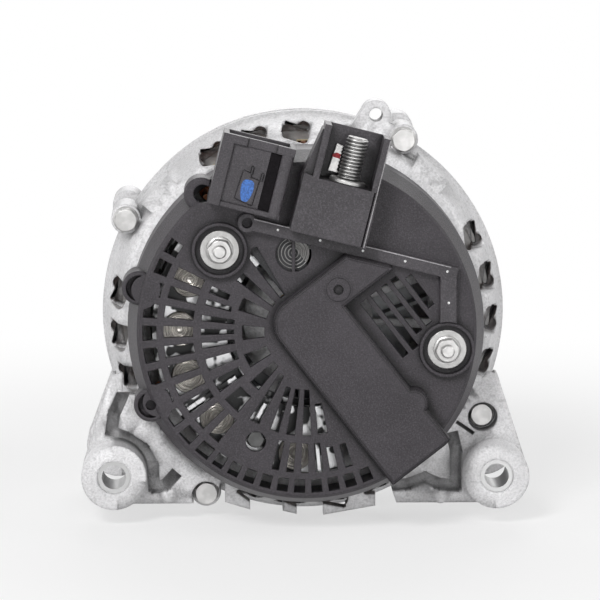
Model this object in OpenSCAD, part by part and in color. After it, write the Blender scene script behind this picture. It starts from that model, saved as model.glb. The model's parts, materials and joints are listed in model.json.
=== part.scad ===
// Automotive claw-pole alternator, seen from the slip-ring end.
// Pieces are drawn about the shaft with X right, Y up and Z towards the rear cover.
// The datum Z = 0 is the open rim of the rear bracket. stand() turns the whole part upright.

/* [Rear bracket] */
// Wall between the core and the rear bracket's outside
rear_wall = 5.2; // [4.6:0.2:7]
// Width of the taper round the rear bracket's flat end
rear_taper = 6.2; // [5.2:0.2:7]
// Height of the rear bracket's flat end above its rim
rear_depth = 28; // [27:0.5:32]
// Thickness of both brackets' end plates
plate_t = 3.5; // [3:0.5:4.5]
// Number of cooling windows around each bracket
window_count = 27; // [24:1:29]
// Width of one cooling window
window_w = 10.6; // [8:0.2:11]
// Slant of the ribs between the windows, in degrees
window_slant = 20; // [10:1:26]
// Level where the cooling windows start above the rim
window_z = 14; // [12:0.5:18]
// Radius of the scoop at the end of each rear window
scoop_r = 2.6; // [2:0.1:3.2]
// Depth of that scoop below the window
scoop_depth = 5.5; // [3:0.5:6]
// Number of air inlets around each bearing boss
inlet_count = 16; // [12:1:18]
// Outer radius of the air inlets
inlet_r = 46; // [40:1:50]

/* [Front bracket] */
// Wall between the core and the front bracket's outside
front_wall = 3.6; // [3.4:0.2:6]
// Length of the front bracket from its rim to its flat end
front_depth = 30; // [29:0.5:36]

/* [Mounting ears] */
// Distance between the two mounting axes
ear_spacing = 141; // [136:1:150]
// Depth of the mounting axes below the shaft
ear_drop = 56.7; // [54:0.5:62]
// Outer radius of every ear boss
ear_r = 12; // [10:0.5:13]
// Radius of the bolt passage in every ear
ear_bore_r = 4.5; // [4:0.1:5]
// Wall of the steel bushes in the rear ears
bush_wall = 1.6; // [1:0.1:2]
// Depth of the bushes below the rear ears' faces
bush_inset = 1.5; // [0.5:0.1:3]
// Height of the rear ears' faces above the rim
rear_ear_z = 42; // [40:0.5:45]
// Length of the rear ears
rear_ear_len = 21; // [18:0.5:24]
// Clear gap between the rear and the front ears
ear_gap = 47; // [44:0.5:50]
// Length of the front ears
front_ear_len = 17; // [14:0.5:18]
// Radius of the tapped hole in the small top ear
top_hole_r = 2.5; // [2:0.1:3]
// Wall around the tapped hole in the small top ear
top_ear_wall = 3; // [2:0.2:4]

/* [Through bolts] */
// Distance of the through bolts' axes outside the core
bolt_offset = 5.4; // [5:0.1:6.4]
// Turn of the four bolts about the shaft, in degrees
bolt_turn = 61; // [58:0.5:64]
// Shank radius of the through bolts
bolt_r = 2.5; // [2:0.1:3]
// Width across flats of the bolt heads
bolt_af = 8; // [7:0.5:9]
// Height of the bolt seats above the rim
bolt_seat_z = 20.5; // [18:0.5:22]
// Wall around each through bolt
bolt_wall = 3; // [2.4:0.2:3.6]

/* [Stator] */
// Outer radius of the laminated core
core_r = 70; // [66:0.5:74]
// Length of the laminated core
core_len = 34; // [30:1:36]
// Depth to which each bracket grips the core
grip = 6; // [4:0.5:8]
// Radial width of the core behind its slots
core_back = 5.4; // [4.4:0.2:7]
// Height of the lips that close the slots towards the rotor
slot_lip = 1.4; // [1:0.1:2]
// Number of winding slots
slot_count = 36; // [24:12:48]
// Radial depth of a winding slot behind its lips
slot_depth = 11; // [9:0.5:12]
// Width of a winding slot
slot_w = 5; // [4:0.2:5.4]
// Thickness of the slot insulation
liner_t = 0.3; // [0.2:0.1:0.5]
// Height of the end turns beyond the core
turn_h = 16; // [12:0.5:17]

/* [Rotor] */
// Air gap between the claw poles and the core
air_gap = 0.5; // [0.4:0.1:0.8]
// Length over both claw poles
rotor_len = 45; // [42:0.5:46]
// Thickness of a claw pole's disc
pole_disc_t = 12; // [10:0.5:13]
// Number of claws on each pole
claw_count = 6; // [5:1:7]
// Width of a claw at its root
claw_root_w = 22; // [18:0.5:24]
// Width of a claw at its tip
claw_tip_w = 9; // [6:0.5:11]
// Radius of the rotor shaft
shaft_r = 8.5; // [8:0.1:9]
// Gap between the field coil and the claws
coil_gap = 4; // [3:0.5:7]
// Height of the fan blades
blade_h = 9; // [7:0.5:9.5]
// Step from the rotor's outside in to the fans
fan_step = 2.7; // [1.2:0.1:6]
// Number of blades on the rear fan
rear_blades = 11; // [9:1:13]
// Number of blades on the front fan
front_blades = 9; // [7:1:11]

/* [Bearings] */
// Outer radius of the front bearing
front_bearing_r = 23.5; // [22:0.5:24]
// Width of the front bearing
front_bearing_w = 14; // [12:0.5:15]
// Outer radius of the rear bearing
rear_bearing_r = 17.5; // [17:0.5:18.5]
// Bore radius of the rear bearing
rear_journal_r = 7.5; // [7:0.1:8]
// Width of the rear bearing
rear_bearing_w = 11; // [10:0.5:12]
// Number of balls in each bearing
ball_count = 8; // [7:1:8]
// Running clearance of the balls in their races
ball_play = 0.08; // [0.06:0.01:0.1]
// Wall of the plastic sleeve around the rear bearing
sleeve_t = 1; // [0.8:0.1:1.5]

/* [Slip rings and brushes] */
// Outer radius of the slip rings
ring_r = 7.4; // [7:0.1:7.8]
// Width of one slip ring
ring_w = 6; // [5:0.2:6.6]
// Insulating gap between the slip rings
ring_gap = 2; // [1.5:0.1:2.5]
// Width of a brush across the ring
brush_w = 5; // [4:0.2:5.6]
// Length of a new brush
brush_len = 17; // [14:0.5:18]
// Working length of a brush spring
spring_len = 10; // [8:0.5:12]
// Gap of a brush in its channel
brush_play = 0.3; // [0.2:0.05:0.4]

/* [Rear cover] */
// Step from the bracket's flat end in to the cover
cover_step = 4; // [3:0.2:5]
// Height of the cover's face above the rear bracket
cover_h = 31; // [30:0.5:34]
// Wall thickness of the cover
cover_t = 2.5; // [2:0.1:3]
// Width of the bevel round the cover's face
bevel_w = 3.5; // [2.5:0.5:4]
// Height of the cover's bevelled edge
bevel_h = 12; // [8:0.5:13]
// Height of the dome above the cover's face
dome_h = 8; // [6:0.5:10]
// Width of the dome over the brushes
dome_w = 26.6; // [26:0.2:28]
// Direction of the dome from the shaft, in degrees
dome_dir = -52.2; // [-56:0.2:-50]
// Step from the cover's outside in to the dome's end
dome_step = 2.2; // [1.8:0.2:4]
// Outer radius of the cups around the cover nuts
cup_r = 10; // [9.4:0.1:10.4]
// Outer radius of the snap caps at the cover's edge
cap_r = 6.2; // [5.6:0.1:6.6]

/* [Terminals] */
// Tilt of the plug socket and the terminal block, in degrees
block_tilt = -14; // [-16:0.5:-12]
// Width of the plug socket
socket_w = 26.4; // [25:0.2:27]
// Length of the plug socket along its mouth's direction
socket_len = 26; // [24:0.5:28]
// Thickness of the plug socket
socket_t = 19; // [17:0.5:21]
// Wall of the plug socket
socket_wall = 2; // [1.6:0.1:2.4]
// Height of the plug socket above the cover's face
socket_rise = 13; // [11:0.5:15]
// Width of the battery terminal's pocket
pocket_w = 19.2; // [18.4:0.2:20]
// Depth of the battery terminal's pocket
pocket_len = 19.5; // [18:0.5:20]
// Height of the terminal block above the cover's face
block_rise = 15; // [14.5:0.5:17]
// Radius of the battery stud
stud_r = 4; // [3:0.1:4.2]
// Length of the battery stud's free end
stud_len = 17; // [15:0.5:18]
// Width of the rail that carries the moulded-in conductor
rail_w = 4.6; // [4:0.1:5]
// Height of the rail above the cover's face
rail_h = 4; // [3:0.5:5]

/* [Pulley] */
// Outer radius of the belt pulley
pulley_r = 27; // [25:0.5:30]
// Number of belt ribs
rib_count = 6; // [4:1:7]
// Distance between belt ribs
rib_pitch = 3.56; // [3.4:0.02:3.7]
// Depth of a belt groove
rib_depth = 2.9; // [2.4:0.1:3]
// Width across flats of the pulley nut
nut_af = 24; // [22:0.5:25]

/* [Hidden] */
$fn = 72;

// Small clearances that repeat
fit = 0.05;
seat_gap = 0.3;
eps = 0.02;

// Radii that follow the stator core, outwards to the brackets and the cover
body_r = core_r + rear_wall;
front_r = core_r + front_wall;
shoulder_r = body_r - rear_taper;
bolt_circle_r = core_r + bolt_offset;
cover_r = shoulder_r - cover_step;
face_r = cover_r - bevel_w;
dome_reach = cover_r - dome_step;
window_r = core_r - 3.5;

// Radii that follow the stator core, inwards to the rotor
slot_out_r = core_r - core_back;
slot_in_r = slot_out_r - slot_depth;
core_bore_r = slot_in_r - slot_lip;
rotor_r = core_bore_r - air_gap;
claw_in_tip = rotor_r - 6.7;
claw_in_root = rotor_r - 10.7;
coil_r = claw_in_root - coil_gap;
disc_r = coil_r - 4;
fan_r = rotor_r - fan_step;

// Levels along the shaft, from the rear cover to the pulley
plate_in_z = rear_depth - plate_t;
core_top_z = grip;
core_bot_z = grip - core_len;
front_rim_z = core_bot_z + grip;
front_face_z = front_rim_z - front_depth;
front_in_z = front_face_z + plate_t;
rotor_mid_z = (core_top_z + core_bot_z) / 2;
rotor_top_z = rotor_mid_z + rotor_len / 2;
rotor_bot_z = rotor_mid_z - rotor_len / 2;
rear_bearing_z = plate_in_z + 0.5;
boss_top_z = rear_bearing_z + rear_bearing_w + 2.5;
front_bearing_z = front_in_z - 2 - front_bearing_w;
front_boss_z = front_bearing_z - 1.5;
front_ear_z = rear_ear_z - rear_ear_len - ear_gap - front_ear_len;
cover_z = rear_depth + cover_h;
cover_in_z = cover_z - cover_t;
dome_z = cover_z + dome_h;
rail_z = cover_z + rail_h;
wall_z = rear_depth + seat_gap;
cap_z = wall_z + 15;
slip_z = boss_top_z + 1.5;
shaft_end_z = slip_z + 2 * ring_w + 2 * ring_gap;
pulley_top_z = front_bearing_z;
pulley_rim_len = rib_count * rib_pitch + 6;
pulley_rim_z = pulley_top_z - 4;
pulley_bot_z = pulley_rim_z - pulley_rim_len;
nut_t = 9;
nut_z = pulley_bot_z + 6 - nut_t;
shaft_tip_z = nut_z - 1.5;

// Rectifier levels above the bracket
sink_t = 4;
neg_sink_z = rear_depth + 3;
board_z = neg_sink_z + sink_t + 5;
board_t = 4;
pos_sink_z = board_z + board_t + 3;

// Place of the whole part: centred over its length and standing on its ears
rear_reach = cover_z + max(socket_rise, block_rise);
mid_z = (rear_reach + shaft_tip_z) / 2;
stand_h = max(ear_drop + ear_r, body_r);

// Places round the shaft
bolt_angles = [for (i = [0:3]) bolt_turn + 90 * i];
bolt_boss_r = bolt_r + bolt_wall;
top_ear_angle = bolt_turn + 9.4;
top_ear_r = bolt_circle_r + 3.9;
top_ear_boss_r = top_hole_r + top_ear_wall;
nut_points = [polar(cover_r - 21.6, 136.5), polar(cover_r - 13.9, -7.3)];
phase_angles = [127.5, 165.4, 205.5];
cap_points = [for (a = phase_angles) polar(cover_r - 2.4, a)];
pad_angles = [49, 139];
screw_points = [polar(cover_r - 20.6, 245.4), polar(cover_r - 31.6, 150)];
window_pitch = 360 / window_count;
diode_r = 6.35;
diode_pcr = cover_r - 19;
sink_r = cover_r - 8;
sink_in_r = rear_bearing_r + 11.5;
pos_diode_angles = [110, 157, 180, 202, 225, 265];
neg_diode_angles = [118, 158, 180, 202, 224, 266];
horse_start = 100;
strip_start = 66;
horse_end = 283;
fin_start = 166.4;
lead_r = cover_r - 5.5;

// Cast details of the rear bracket
rear_web_t = 9;
rear_ear_in_z = rear_ear_z - rear_ear_len;
rear_web_top_z = rear_ear_in_z + rear_web_t;
pad_in_r = body_r - 13.7;
pad_len = 11.6;
pad_w = 14;
channel_w = 4.6;
channel_depth = 6;
mark_h = 0.4;
ear_marks = [[-1, -1.4, 20, 3.1], [-1, 19.7, -8.9, 3], [1, -20.1, -9.3, 3]];

function polar(r, a) = [r * cos(a), r * sin(a)];
function apart(a, b) = abs((a - b + 540) % 360 - 180);

// Point where a line from p touches the circle about c
function touch(p, c, r, side) =
    let (v = p - c, turn = acos(r / norm(v)))
    c + polar(r, atan2(v[1], v[0]) + side * turn);

// Stands the part on its ears, with the shaft along Y and the cover towards -Y
module stand() {
    translate([0, mid_z, stand_h]) rotate([90, 0, 0]) children();
}

module at_z(z) {
    translate([0, 0, z]) children();
}

module rod(r, z0, z1) {
    translate([0, 0, z0]) cylinder(r = r, h = z1 - z0);
}

module tube(r_out, r_in, z0, z1) {
    difference() {
        rod(r_out, z0, z1);
        rod(r_in, z0 - 1, z1 + 1);
    }
}

// Part of a ring between two angles
module sector(r_in, r_out, a0, a1, z0, z1) {
    rotate([0, 0, a0]) rotate_extrude(angle = a1 - a0)
        translate([r_in, z0]) square([r_out - r_in, z1 - z0]);
}

module hexagon(af, z0, z1) {
    at_z(z0) linear_extrude(z1 - z0) circle(r = af / 2 / cos(30), $fn = 6);
}

module at_bolts() {
    for (a = bolt_angles) translate(polar(bolt_circle_r, a)) children();
}

module at_ears() {
    for (s = [-1, 1]) translate([s * ear_spacing / 2, -ear_drop]) children();
}

// Frame of the plug socket and the terminal block: X across, Y towards their mouths
module block_frame() {
    rotate([0, 0, block_tilt]) children();
}

// Frame of the dome and the brushes: X outwards along the dome
module dome_frame() {
    rotate([0, 0, dome_dir]) children();
}

// Cooling windows of a bracket, kept clear of bolts, ears and pads
ear_zone = [203, 337];
function window_free(a) =
    min([for (b = bolt_angles) apart(a, b)]) > 9.5
    && apart(a, ear_zone[0] + 16) > 17
    && apart(a, ear_zone[1] - 16) > 17
    && min([for (b = pad_angles) apart(a, b)]) > 9;

module windows(z0, z1, slant) {
    for (i = [0:window_count - 1])
        let (a = i * window_pitch)
        if (window_free(a))
            rotate([0, 0, a]) translate([window_r, 0, z0]) rotate([0, 0, slant])
                translate([-6.5, -window_w / 2, 0]) cube([13, window_w, z1 - z0]);
}

// Windows of the rear bracket: tall in the side wall, a sloped slit beside the plate, and a
// round scoop in the rim at one end
module rear_windows() {
    for (i = [0:window_count - 1])
        let (a = i * window_pitch)
        if (window_free(a)) rotate([0, 0, a]) translate([window_r, 0, 0]) rotate([0, 0, -window_slant]) {
            translate([0, window_w / 2, 0]) rotate([90, 0, 0]) linear_extrude(window_w) polygon([
                [-6.5, window_z], [-6.5, plate_in_z - 0.4], [1.9, plate_in_z - 0.4],
                [-1.2, rear_depth + 1], [7.5, rear_depth + 1], [7.5, window_z]]);
            translate([4.1, scoop_r - window_w / 2, 0]) rod(scoop_r, window_z - scoop_depth, rear_depth + 1);
        }
}

module inlets(r_in, z0, z1) {
    step = 360 / inlet_count;
    difference() {
        for (i = [0:inlet_count - 1])
            sector(r_in, inlet_r, i * step, i * step + step - 4.6, z0, z1);
        children();
    }
}

// Outline of the webs that carry one pair of ears; side is -1 left, 1 right
module ear_web(side, rim_r) {
    ear = [side * ear_spacing / 2, -ear_drop];
    start = polar(rim_r - 1, side < 0 ? 196 : -16);
    edge = touch(start, ear, ear_r, side < 0 ? 1 : -1);
    polygon([start, edge, ear, [ear[0], ear[1] - ear_r],
        [side * 34, ear[1] - ear_r], [side * 30, -ear_drop], [0, 0]]);
}

module ear_webs(rim_r, z0, z1) {
    at_z(z0) linear_extrude(z1 - z0) {
        ear_web(-1, rim_r);
        ear_web(1, rim_r);
    }
}

// Groove of even width along a chain of points
module stroke(points, w) {
    for (i = [1:len(points) - 1])
        let (a = points[i - 1], b = points[i], d = b - a)
        translate(a) rotate(atan2(d[1], d[0])) translate([-w / 3, -w / 2])
            square([norm(d) + w * 2 / 3, w]);
}

// Channels that free each rear ear's boss from the web beside it, about the ears' axes
module ear_channels() {
    translate([-ear_spacing / 2, -ear_drop]) {
        stroke([[3, 28.7], [-0.1, 21.7], [-1.1, 15.2], [4.9, 12.6], [10.6, 8.6], [14, 2.4],
            [14.6, -5.9], [18.9, -4.9], [22.1, -1.3]], channel_w);
        polygon([[14.9, 23.1], [19.9, 19.3], [17.1, 15.5]]);
    }
    translate([ear_spacing / 2, -ear_drop]) {
        stroke([[-15.6, 13.1], [-14.4, 7.7], [-14.4, -5.7], [-20.9, -4.9], [-25.9, -2.7],
            [-32.5, -5.1], [-48.5, -5.7]], channel_w);
        stroke([[-13.9, 18.1], [-8.1, 14.1]], 1.4);
    }
}

// Cast blocks under the edge of the end plate, between the ears
module base_blocks() {
    translate([0, -ear_drop]) {
        at_z(rear_ear_in_z) linear_extrude(rear_depth - rear_ear_in_z) {
            polygon([[-29.6, -1.3], [-29.6, -11.9], [-20.3, -14.8], [-20.3, -3.3]]);
            polygon([[6.9, -3.3], [6.9, -16.9], [26.3, -13.5], [26.3, -1.3]]);
        }
        at_z(4.6) linear_extrude(rear_ear_in_z - 4.6)
            polygon([[-8, -9.3], [-8, -16.7], [-2.8, -17.9], [-2.8, -9.3]]);
    }
}

// Round marks that the casting die's ejector pins leave
module ejector_marks() {
    for (m = ear_marks) translate([m[0] * ear_spacing / 2 + m[1], m[2] - ear_drop])
        rod(m[3], rear_web_top_z - 1, rear_web_top_z + mark_h);
    for (a = pad_angles) translate(polar(pad_in_r + 6, a))
        rod(2.4, rear_depth - 2, rear_depth - 1 + mark_h);
}

module plate_bosses(grow, z0, z1) {
    for (p = nut_points) translate(p) rod(6 + grow, z0, z1);
    for (p = screw_points) translate(p) rod(5 + grow, z0, z1);
}

module rear_bracket_body() {
    rotate_extrude() polygon([
        [0, 0], [body_r, 0], [body_r, 3.5], [body_r - 1, 4.5],
        [shoulder_r, rear_depth - 2], [shoulder_r - 2, rear_depth], [0, rear_depth]]);
    difference() {
        ear_webs(body_r, rear_ear_in_z, rear_web_top_z);
        rod(cover_r + 0.6, rear_depth, rear_web_top_z + 1);
    }
    at_ears() rod(ear_r, rear_ear_in_z, rear_ear_z);
    at_bolts() rod(bolt_boss_r, 0, bolt_seat_z);
    translate(polar(top_ear_r, top_ear_angle)) rod(top_ear_boss_r, 8, 18);
    at_z(8) linear_extrude(10) polygon([
        polar(top_ear_r, top_ear_angle + 4), polar(top_ear_r, top_ear_angle),
        polar(bolt_circle_r + bolt_r, bolt_turn + 1), polar(body_r - 4, bolt_turn),
        polar(body_r - 4, top_ear_angle + 6)]);
    for (a = pad_angles) rotate([0, 0, a])
        translate([pad_in_r, -pad_w / 2, 0]) cube([pad_len, pad_w, rear_depth - 1]);
    ejector_marks();
    rod(rear_bearing_r + sleeve_t + 4, plate_in_z, boss_top_z);
    plate_bosses(0, plate_in_z, neg_sink_z);
    translate(nut_points[1]) rod(5.5, plate_in_z, cover_in_z);
}

module rear_bracket_hollow() {
    rotate_extrude() polygon([
        [0, -1], [core_r + fit, -1], [core_r + fit, grip], [core_r - 2, grip],
        [core_r - 3.5, plate_in_z - 3.5], [core_r - 6, plate_in_z], [0, plate_in_z]]);
}

module rear_bracket() color("#c9cacc") {
    difference() {
        union() {
            difference() {
                rear_bracket_body();
                rear_windows();
            }
            base_blocks();
        }
        rear_bracket_hollow();
        inlets(rear_bearing_r + sleeve_t + 6.5, plate_in_z - 1, rear_depth + 1)
            plate_bosses(1, plate_in_z - 2, rear_depth + 2);
        rod(rear_bearing_r + sleeve_t + fit, plate_in_z - 1, rear_bearing_z + rear_bearing_w);
        rod(rear_bearing_r - 4, plate_in_z, boss_top_z + 1);
        at_bolts() rod(bolt_r + 0.25, -1, bolt_seat_z + 1);
        at_bolts() rod(bolt_boss_r, bolt_seat_z, rear_web_top_z + 1);
        at_ears() rod(ear_bore_r + bush_wall, rear_ear_in_z - 1, rear_ear_z + 1);
        difference() {
            at_z(rear_web_top_z - channel_depth) linear_extrude(channel_depth + 1) ear_channels();
            at_ears() rod(ear_r, rear_ear_in_z, rear_ear_z);
            rod(cover_r - 3, rear_ear_in_z, rear_ear_z);
        }
        translate(polar(top_ear_r, top_ear_angle)) rod(top_hole_r, 7, 19);
        for (p = nut_points) translate(p) rod(2.5, plate_in_z - 1, cover_z);
        for (p = screw_points) translate(p) rod(2, plate_in_z - 1, neg_sink_z + 1);
        for (a = phase_angles) translate(polar(lead_r, a)) rod(2.5, plate_in_z - 1, rear_depth + 1);
    }
}

module front_bracket() color("#c4c5c8") {
    web_z = front_ear_z + 4;
    difference() {
        union() {
            rotate_extrude() polygon([
                [0, front_rim_z], [front_r, front_rim_z], [front_r, front_rim_z - 4],
                [front_r - 6, front_face_z + 3], [front_r - 9, front_face_z], [0, front_face_z]]);
            ear_webs(front_r, web_z, web_z + 9);
            at_ears() rod(ear_r, front_ear_z, front_ear_z + front_ear_len);
            at_bolts() rod(bolt_boss_r + 0.4, front_rim_z - 18, front_rim_z);
            rod(front_bearing_r + 4.5, front_boss_z, front_in_z);
        }
        rotate_extrude() polygon([
            [0, front_rim_z + 1], [core_r + fit, front_rim_z + 1], [core_r + fit, core_bot_z],
            [core_r - 2, core_bot_z], [front_r - 8, front_in_z + 3],
            [front_r - 11, front_in_z], [0, front_in_z]]);
        windows(front_face_z - 1, front_rim_z - window_z, window_slant);
        inlets(front_bearing_r + 6.5, front_face_z - 1, front_in_z + 1);
        rod(front_bearing_r + fit, front_bearing_z, front_in_z + 1);
        rod(front_bearing_r - 6, front_boss_z - 1, front_in_z);
        at_bolts() rod(bolt_r, front_rim_z - 19, front_rim_z + 1);
        at_ears() rod(ear_bore_r, front_ear_z - 1, front_ear_z + front_ear_len + 1);
        for (a = [0:90:270]) translate(polar(retainer_hole_pcr, a + 45))
            rod(2, front_face_z - 1, front_in_z + 1);
    }
}

// Stator

module slot_outline(gap) {
    translate([slot_in_r - gap, -slot_w / 2]) square([slot_depth + gap, slot_w]);
}

module stator_core() color("#8f8c88") {
    at_z(core_bot_z) linear_extrude(core_len) difference() {
        circle(r = core_r);
        circle(r = core_bore_r);
        for (i = [0:slot_count - 1]) rotate(i * 360 / slot_count) {
            slot_outline(0);
            translate([core_bore_r - 1, -slot_w / 4]) square([slot_lip + 2, slot_w / 2]);
        }
    }
}

module slot_liners() color("#e6dcc0") {
    at_z(core_bot_z - 1) linear_extrude(core_len + 2)
        for (i = [0:slot_count - 1]) rotate(i * 360 / slot_count) difference() {
            translate([slot_in_r + fit, -slot_w / 2 + fit])
                square([slot_depth - 2 * fit, slot_w - 2 * fit]);
            translate([slot_in_r - 1, -slot_w / 2 + fit + liner_t])
                square([slot_depth + 1 - fit - liner_t, slot_w - 2 * (fit + liner_t)]);
        }
}

turn_r = (slot_in_r + slot_out_r) / 2;
turn_half = slot_depth / 2 - 0.6;

module end_turns(z0, dir) {
    step = 360 / slot_count;
    at_z(z0) mirror([0, 0, dir < 0 ? 1 : 0]) {
        rotate_extrude() translate([turn_r - turn_half, 1.6])
            square([2 * turn_half, turn_h - 5.6]);
        rotate_extrude() translate([turn_r, turn_h - 4]) circle(r = 4);
        for (i = [0:slot_count - 1]) rotate([0, 0, i * step])
            translate([turn_r, 0, turn_h - 5.5]) rotate([62, 0, 0])
                cylinder(r = 2.6, h = 9.4, center = true);
    }
}

module stator_winding() color("#b4652f") {
    bar_w = slot_w - 2 * (fit + liner_t) - 2 * fit;
    at_z(core_bot_z - 2) linear_extrude(core_len + 4)
        for (i = [0:slot_count - 1]) rotate(i * 360 / slot_count)
            translate([slot_in_r + 0.3, -bar_w / 2])
                square([slot_depth - fit - liner_t - 0.6, bar_w]);
    end_turns(core_top_z, 1);
    end_turns(core_bot_z, -1);
}

module phase_leads() color("#c07a3e") {
    z1 = board_z + board_t / 2;
    for (a = phase_angles) rotate([0, 0, a]) {
        translate([lead_r, 0]) rod(1, core_top_z + turn_h + seat_gap, z1 + 1);
        translate([sink_r, 0, z1]) rotate([0, 90, 0]) cylinder(r = 0.9, h = lead_r - sink_r);
    }
}

// Rear cover

// One ring of grille openings: inner and outer radius, first centre, step, count, width
grille_rows = [
    [54.4, 59.4, 147.6, 8.2, 11, 5.4],
    [41.2, 51.8, 155.4, 8.2, 10, 5],
    [30.7, 38, 156, 0, 1, 4],
    [28.4, 38, 163.4, 0, 1, 3.4],
    [26.4, 38.2, 172.4, 7.7, 3, 3.4],
    [26.4, 38.2, 198.6, 0, 1, 6.6],
    [27.6, 38.4, 211.3, 0, 1, 7.6],
    [31.2, 38.6, 224.9, 0, 1, 10.2],
    [18.4, 38.2, 240, 0, 1, 6],
    [21.4, 38.4, 252.2, 8.9, 3, 4.7],
    [26.8, 38, 278.8, 0, 1, 5.2],
    [54.4, 59.3, 236.4, 6.2, 10, 3.9],
    [41.2, 52, 257.2, 6, 4, 2.9],
    [43.2, 52, 281, 6.3, 2, 3.1],
    [15.4, 36, 124.2, 0, 1, 8],
    [15.4, 31.4, 140.4, 0, 1, 6.6],
    [15.4, 26, 157, 0, 1, 11],
    [15.4, 23.4, 181, 0, 1, 13.4],
    [15.4, 24.2, 206.4, 0, 1, 12.4],
    [16.4, 27.6, 226.4, 0, 1, 9]
];

grille_shift = face_r - 61.5;

// Openings of the grille, with plain plastic left round cups, caps and the dome
module grille(z0, z1) {
    difference() {
        for (row = grille_rows) for (i = [0:row[4] - 1])
            let (a = row[2] + i * row[3])
            sector(row[0] + grille_shift, row[1] + grille_shift, a - row[5] / 2, a + row[5] / 2, z0, z1);
        for (p = nut_points) translate(p) rod(cup_r + 1.3, z0 - 1, z1 + 1);
        for (p = cap_points) translate(p) rod(cap_r + 1.6, z0 - 1, z1 + 1);
        translate(screw_points[0]) rod(5.2, z0 - 1, z1 + 1);
        dome_frame() translate([0, 0, z0 - 1]) {
            translate([-4, dome_low - 1.4, 0]) cube([90, 30, z1 - z0 + 2]);
            translate([-4, dome_low + 10, 0]) cylinder(r = 11.4, h = z1 - z0 + 2);
        }
    }
    half_moons(z0, z1);
    parallel_slots(z0, z1);
}

module half_moons(z0, z1) {
    translate([-4.8, 28.3]) difference() {
        rod(6.5, z0, z1);
        translate([-0.6, -10, z0 - 1]) cube([1.2, 20, z1 - z0 + 2]);
    }
}

module parallel_slots(z0, z1) {
    ends = [29, 29, 25.2, 25, 20.4];
    dome_frame() for (i = [0:4])
        translate([i == 4 ? 6.6 : 3.8, 21.4 + 4.6 * i, z0])
            cube([ends[i] - (i == 4 ? 6.6 : 3.8), 2.7, z1 - z0]);
}

// Plan of the dome: a long bar over the brushes and a wing towards the rail
dome_low = 17.1 - dome_w;

// Steps that round the dome's edge: how far in, how far down
dome_edge = [[0, 1.4], [0.25, 0.75], [0.6, 0.3], [1.2, 0]];
button_at = [-6.1, 18.8];
button_r = 4.2;

module dome_outline(grow) {
    dome_frame() {
        translate([43.6, dome_low + dome_w - 2.4]) circle(r = 5.4 + grow);
        translate([-4, dome_low - grow]) square([dome_reach + 4 + grow, dome_w + 2 * grow]);
        translate([-4, dome_low + 10]) circle(r = 10 + grow);
        translate([-14 - grow, dome_low + 10]) square([14.4 + 2 * grow, 38]);
    }
}

module dome_limit(r, top) {
    intersection() {
        circle(r = r);
        block_frame() translate([-80, -90]) square([160, 90 + top]);
    }
}

module socket_plan(grow) {
    block_frame() translate([socket_x - grow, socket_y - grow])
        square([socket_w + 2 * grow, socket_len + 2 * grow + 20]);
}

socket_x = -46.6;
socket_y = 38.2;
socket_top_z = cover_z + socket_rise;
rail_y = 33.6;

// Room under a cap, with a sight hole or a crescent slot at its outer side
module cap_hollow(p) {
    away = p / norm(p);
    rod(cap_r - 1.3, cap_z - 1, cover_z - 3.6);
    if (p[1] < 0) rod(1.9, cover_z - 5, cover_z);
    if (p[1] > 40) translate([0.6, 0.4]) rod(3.3, cover_z - 5, cover_z);
    if (p[1] < 40) difference() {
        rod(cap_r - 1.5, cover_z - 4, cover_z);
        translate(away * -2.7) rod(cap_r - 0.8, cover_z - 5, cover_z + 1);
    }
}

module rear_cover() color("#3b3a3d") {
    difference() {
        union() {
            rotate_extrude() polygon([
                [0, wall_z], [cover_r, wall_z], [cover_r, cover_z - bevel_h],
                [face_r, cover_z - 1], [face_r - 1, cover_z], [0, cover_z]]);
            for (edge = dome_edge) at_z(cover_z - 1) linear_extrude(dome_h + 1 - edge[1])
                intersection() {
                    dome_outline(-edge[0]);
                    dome_limit(cover_r - 0.5 - edge[0], rail_y - rail_w / 2 - 2 * fit - edge[0]);
                }
            dome_frame() translate(button_at) {
                rod(button_r, cover_z, dome_z + 0.5);
                rod(button_r + 0.8, cover_z, dome_z + 0.1);
            }
            for (p = nut_points) translate(p) rod(cup_r, cover_z - 4, cover_z + 3);
            for (p = cap_points) translate(p) {
                rod(cap_r, cap_z, cover_z - 1.9);
                at_z(cover_z - 1.9) cylinder(r1 = cap_r, r2 = cap_r - 0.7, h = 0.7);
            }
        }
        rotate_extrude() polygon([
            [0, wall_z - 1], [cover_r - cover_t, wall_z - 1],
            [cover_r - cover_t, cover_in_z - bevel_h + 1], [face_r - cover_t, cover_in_z],
            [0, cover_in_z]]);
        at_z(cover_in_z - 1) linear_extrude(dome_h + 1) intersection() {
            dome_outline(-cover_t);
            dome_limit(cover_r - 0.5 - cover_t, rail_y - rail_w / 2 - cover_t);
        }
        dome_frame() translate(button_at) rod(1.8, dome_z - 0.8, dome_z + 2);
        grille(cover_in_z - 1, cover_z + 0.5);
        for (p = cap_points) translate(p) cap_hollow(p);
        for (p = nut_points) translate(p) rod(cup_r - 1.1, cover_z, cover_z + 4);
        for (p = nut_points) translate(p) rod(2.9, cover_in_z - 5, cover_z + 1);
        for (p = [screw_points[0]]) translate(p) rod(3.7, cover_in_z - 1, cover_z + 1);
        at_z(socket_top_z - socket_t - 0.4) linear_extrude(socket_t) socket_plan(0.4);
        translate(nut_points[1]) rod(5.8, wall_z, cover_in_z);
        block_frame() translate([strip_x - 0.5, strip_y - 0.5, cover_in_z - 1])
            cube([strip_w + 1, strip_t + 1, cover_t + 2]);
    }
}

// Terminals

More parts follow.
